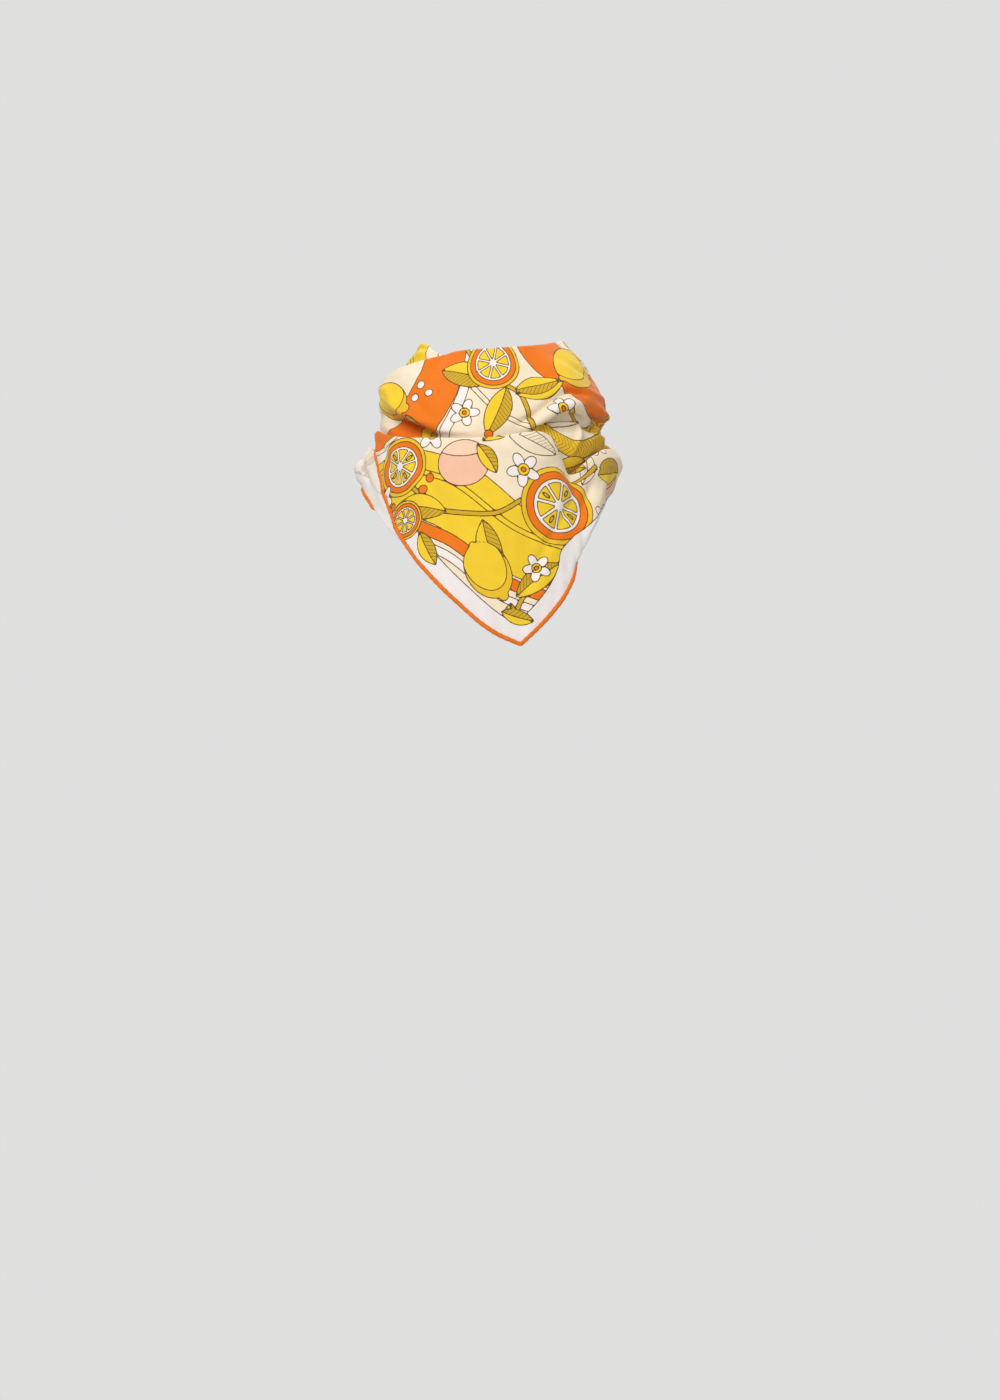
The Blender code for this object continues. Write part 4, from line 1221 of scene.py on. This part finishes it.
dyed(inner_piece, joined([inner_flat, inner_inside_flat]))
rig.sheet(inner_piece, held="draped", **two_ply_cut(inner_flat, inner_inside_flat))

# --------------------------------------------------------------------------------------------------
# The knot: the two gathered ends of the folded square, tied twice at the nape. Each makes a bight, and each bight is
# held in the other's loop. The cloth is pleated lengthwise where it is pulled tight.
# A strand's points, from its wrap through the knot to its free end: how far to its own side, its depth towards the
# back and its height, how far it lifts over the other strand, and half its width and thickness.
STRAND_POINTS = (
    (40, 52, -10, 0, 6.5, 0.4),
    (30, 62.5, -10, 0, 9.4, 1.8),
    (21, 74, -9.5, 1, 8.4, 4.2),
    (14.5, 80.5, -8.5, 5, 7.5, 5.0),
    (0, 80.5, -4.5, -5, 7.0, 5.0),
    (-10, 80.5, -2, 1.5, 7.0, 5.0),
    (-15.5, 80.5, -8.5, 5, 7.5, 5.2),
    (-17, 80.5, -15, 5.8, 7.6, 5.4),
    (-15.5, 80.5, -21.5, 5, 7.5, 5.2),
    (-10, 80.5, -28, 1.5, 7.0, 5.0),
    (0, 80.5, -25.5, -5, 7.0, 5.0),
    (14.5, 80.5, -21.5, 5, 7.2, 4.8),
    (19.5, 81.5, -25.5, 2, 7.0, 4.4),
    (16, 82, -32, 0, 6.6, 3.8),
    (10.5, 81.5, -38, 0, 6.0, 3.0),
    (12, 83, -43, 0, 4.0, 1.0),
)
STRAND_STEPS = 11
STRAND_SIDES = 64
STRAND_FROM = (142, 1.3)                     # the turn and the place down the wrap where a strand leaves it
STRAND_GATHER = (1.15, 1.8, 30)              # how much wider the cloth is than the strand, at its start and further on
PLEATS = ((7, 0.050, 0.065), (11, -0.085, 0.05), (17, 0.11, 0.03))     # how many round a strand, their twist and depth


def knot_strand(side):
    """The rings of one strand and its flat cloth. side is -1 for the strand from the left, which lies over."""
    points = np.array(STRAND_POINTS)
    points[:, 0] *= side
    points[:, 1] -= side * points[:, 3]
    run = profile([point[None] for point in points], (STRAND_STEPS,) * (len(points) - 1))[0]
    middle, half_width, half_depth = run[:, :3], run[:, 4, None], run[:, 5, None]
    along = unit(np.gradient(middle, axis=0))
    wide = unit(np.cross(along, (0, 1, 0)))
    deep = np.cross(along, wide)
    length = np.concatenate([[0], np.cumsum(np.linalg.norm(np.diff(middle, axis=0), axis=1))])[:, None]
    angle = np.linspace(0, 2 * math.pi, STRAND_SIDES, endpoint=False)[None]
    swell = 1 + sum(depth * np.sin(count * angle + twist * length + side) for count, twist, depth in PLEATS)
    rings = (middle[:, None] + (half_width * np.cos(angle) * swell)[..., None] * wide[:, None]
             + (half_depth * np.sin(angle) * swell)[..., None] * deep[:, None])
    turn, down = STRAND_FROM
    start = place(front_flat, turns, STATIONS, side * turn, down)
    onward = unit(place(front_flat, turns, STATIONS, side * (turn + 12), down) - start)
    sideways = np.array((-onward[1], onward[0]))
    gather = np.interp(length, (0, STRAND_GATHER[2]), STRAND_GATHER[:2])
    return rings, start + length[..., None] * onward + (half_width * gather * np.cos(angle))[..., None] * sideways


strands = [knot_strand(side) for side in (-1, 1)]
strand_faces = []
for start, (rings, _) in zip((0, strands[0][0][..., 0].size), strands):
    ring_count = len(rings)
    faces = grid_faces(ring_count, STRAND_SIDES, closed=True)
    faces += [tuple(range(STRAND_SIDES)), tuple(range(ring_count * STRAND_SIDES - 1, (ring_count - 1) * STRAND_SIDES - 1, -1))]
    strand_faces += [tuple(start + corner for corner in face) for face in faces]
strand_points = np.concatenate([rings.reshape(-1, 3) for rings, _ in strands])
knot_piece = new_piece("nape_knot_cloth", strand_points, strand_faces, printed)
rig.ride(knot_piece, "root")
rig.replaces(knot_piece, "nape_knot")
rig.slot(knot_piece, "printed_cotton")
dyed(knot_piece, np.concatenate([flat.reshape(-1, 2) for _, flat in strands]))

# --------------------------------------------------------------------------------------------------
# The free ends: the square's two corners, which hang from the knot, each folded softly along its middle.
TAIL_ROOT = (8, 80, -34.5)
TAIL_SHIFT = (60, 20)
TAIL_PLEATS = 2.6        # half waves across a free end where it leaves the knot
TAIL_ROWS = (
    (0, 0, 0, 6, 5),
    (14, 5, 4, 9, 6),
    (34, 11, 3, 14, 6),
    (60, 17, -1, 17, 5),
    (88, 21, -4, 12, 3.5),
    (108, 23, -5, 6, 2),
    (120, 24, -5, 1.6, 0.5),
)
TAIL = table(("down", "aside", "back", "half_width", "fold"), TAIL_ROWS)


def free_end(side):
    """The grid of a free end, down its length and across it; side is -1 on the left and 1 on the right."""
    down = np.linspace(0, TAIL["down"][-1], 90)
    aside, back, half, fold = (smooth(TAIL["down"], TAIL[name], down)[:, None]
                               for name in ("aside", "back", "half_width", "fold"))
    across = np.linspace(-1, 1, 25)[None]
    x = side * (TAIL_ROOT[0] + aside + half * across)
    gathered = 1.5 * np.exp(-(down[:, None] / 30) ** 2) + 0.35
    pleats = gathered * np.cos(TAIL_PLEATS * math.pi * across + 0.9 * side + 0.02 * down[:, None])
    sway = 0.9 * np.sin(down[:, None] / 17 + 1.3 * side) * np.minimum(down[:, None] / 40, 1)
    y = TAIL_ROOT[1] + back + fold * (1 - abs(across) ** 1.5) + pleats + sway
    return np.stack([x + 0.6 * sway, y, TAIL_ROOT[2] - down[:, None] + 0 * across], axis=2)


tails = {"left": free_end(-1), "right": free_end(1)}
tail_pieces = {}
tail_flats = {end: flattened(grid) + TAIL_SHIFT for end, grid in tails.items()}
for end, grid in tails.items():
    tail_pieces[end] = cloth("tail_" + end + "_cloth", [grid], printed, wrong_side)
    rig.replaces(tail_pieces[end], "tail_" + end)
    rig.slot(tail_pieces[end], "printed_cotton")
    dyed(tail_pieces[end], tail_flats[end], tail_flats[end][:, -1])

# --------------------------------------------------------------------------------------------------
# The rolled hem. The raw edge is rolled over by hand into a thin cord of cloth and slip-stitched down.
HEM = 3.4
HEM_OVERLAP = 0.9        # how far the cord laps over the cloth that it is rolled from
STITCH_PITCH = 5.5
PINCH = 0.07             # how much each stitch draws the cord in
HEM_ORANGE = (0.84, 0.185, 0.003, 1)
HEM_SIDES = 12
TUCK_DEPTH, TUCK_RISE = 3.6, 1.5             # where the cord turns in behind the cloth
FRONT_TUCK = (-74, -71, -67)                 # the turns where the front hem comes out from its tuck
UNDER_TUCK = (-67, -61, -34, -28)            # the turns between which the under ply's hem turns in


def rolled_cotton():
    """The cord's cloth: slanted ridges where it is rolled, with painted shade in the grooves between them, and a
    darker thread at each stitch.
    """
    finish = Finish("rolled_hem_cotton", HEM_ORANGE, 0.72)
    own = finish.node("Attribute", "Vector", {}, attribute_name="cut")
    along, around = finish.node("SeparateXYZ", 0, {0: own}), finish.node("SeparateXYZ", 1, {0: own})
    slant = finish.sum("MULTIPLY_ADD", around, 0.55, along)
    ridges = finish.sum("SINE", finish.sum("MULTIPLY", slant, 2 * math.pi / 1.7))
    to_stitch = finish.sum("PINGPONG", finish.sum("MULTIPLY_ADD", around, 0.25, along), STITCH_PITCH / 2)
    thread = finish.ramp(to_stitch, 0.34, 0.22)
    tone = finish.ramp(finish.noise(own, 0.12, 3.0), 0.3, 0.7, 0.9, 1.06)
    # painted shade: the colour darkens in each groove between the ridges, following their height
    tone = finish.sum("MULTIPLY", tone, finish.ramp(ridges, -1, 1, 0.93, 1.02))
    tone = finish.sum("MULTIPLY", tone, finish.ramp(thread, 0, 1, 1.0, 0.86))
    shown = finish.node("VectorMath", 0, {0: HEM_ORANGE[:3], 1: finish.node("CombineXYZ", 0, {0: tone, 1: tone, 2: tone})},
                        operation="MULTIPLY")
    height = finish.sum("MULTIPLY", ridges, 0.07)
    height = finish.sum("SUBTRACT", height, finish.sum("MULTIPLY", thread, 0.12))
    finish.shader.inputs["Sheen Weight"].default_value = 0.15
    finish.shader.inputs["Specular IOR Level"].default_value = 0.25
    return finish.finish(shown, height, 0.6)


hem_cotton = rolled_cotton()


def hem_line(edge, inner):
    """The middle of the rolled cord, just past the cloth's edge in the cloth's own plane, mitred at a corner."""
    along = unit(np.diff(edge, axis=0))
    depth = edge - inner
    out = 0.5 * (depth[1:] + depth[:-1])
    out = unit(out - along * np.sum(out * along, axis=1, keepdims=True))
    before, after = np.vstack([out[:1], out]), np.vstack([out, out[-1:]])
    mitre = (before + after) / (1 + np.sum(before * after, axis=1, keepdims=True))
    return edge + mitre * (HEM / 2 - HEM_OVERLAP)


def swept(line, radii, sides):
    """Rings of points round a line, each square to it, with one radius for each point and side."""
    along = unit(np.gradient(line, axis=0))
    across = np.empty_like(line)
    last = np.array((0.0, 0.0, 1.0))
    for k, heading in enumerate(along):
        last = unit(last - heading * np.dot(last, heading))
        across[k] = last
    third = np.cross(along, across)
    angles = np.linspace(0, 2 * math.pi, sides, endpoint=False)[None, :, None]
    return line[:, None] + radii[..., None] * (np.cos(angles) * across[:, None] + np.sin(angles) * third[:, None])


def rolled_hem(name, edge, inner, tuck=None):
    """A rolled cord along a cloth's edge. tuck is how far it turns in behind the cloth at each point, up to 1."""
    line = hem_line(edge, inner)
    run = np.concatenate([[0], np.cumsum(np.linalg.norm(np.diff(line, axis=0), axis=1))])
    finer = np.arange(0, run[-1], STITCH_PITCH / 5)
    line = np.stack([np.interp(finer, run, line[:, k]) for k in range(3)], axis=1)
    radius = HEM / 2 * (1 - PINCH * np.cos(2 * math.pi * finer / STITCH_PITCH) - 0.04 * np.sin(finer / 9.0))
    if tuck is not None:
        share = np.interp(finer, run, tuck)
        line -= share[:, None] * (TUCK_DEPTH * unit(line * (1, 1, 0)) - (0, 0, TUCK_RISE))
        radius *= 1 - 0.55 * share
    rings = swept(line, np.repeat(radius[:, None], HEM_SIDES, axis=1), HEM_SIDES)
    faces = grid_faces(len(line), HEM_SIDES, closed=True)
    faces += [tuple(range(HEM_SIDES)), tuple(range(len(line) * HEM_SIDES - 1, (len(line) - 1) * HEM_SIDES - 1, -1))]
    made = new_piece(name, rings, faces, hem_cotton)
    around = np.linspace(0, math.pi * HEM, HEM_SIDES, endpoint=False)
    own = np.stack(np.broadcast_arrays(finer[:, None], around[None], 0.0), axis=2)
    made.data.attributes.new("cut", "FLOAT_VECTOR", "POINT").data.foreach_set("vector", own.astype(np.float32).ravel())
    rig.ride(made, "root")
    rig.slot(made, "rolled_hem")
    return made


front_tuck = np.interp(turns[drop_from:], FRONT_TUCK, (1, 0.3, 0))
front_hem = rolled_hem("front_hem", front_ply[drop_from:, HEM_ROW], front_ply[drop_from:, HEM_ROW - 1], front_tuck)
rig.replaces(front_hem, "hem_front_left", "hem_front_right", "hem_shoulder_right")
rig.sheet(drop_piece, held="hung", with_pieces=[front_hem], **cut_of(front_flat[drop_from:, POCKET_ROW:]))
under_tuck = np.interp(under_turns, UNDER_TUCK, (0, 1, 1, 0))
under_hem = rolled_hem("under_hem", under_ply[:, -1], under_ply[:, -2], under_tuck)
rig.replaces(under_hem, "hem_under_left", "hem_under_right", "hem_shoulder_left")
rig.sheet(under_piece, held="hung", with_pieces=[under_hem], **cut_of(under_flat))
for end, grid in tails.items():
    tail_hem = rolled_hem("tail_" + end + "_hem", grid[:, -1], grid[:, -2])
    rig.replaces(tail_hem, "hem_tail_" + end)
    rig.sheet(tail_pieces[end], held="hung", rests_on=["nape_knot_cloth"], with_pieces=[tail_hem], **cut_of(tail_flats[end]))

# --------------------------------------------------------------------------------------------------
# The finished scarf's size beside its solids' size, and the end.
visual_low, visual_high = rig.bounds()
with open("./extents.json", "w") as sizes:
    json.dump({"cad": [list(cad_low), list(cad_high)], "visual": [list(visual_low), list(visual_high)]}, sizes)
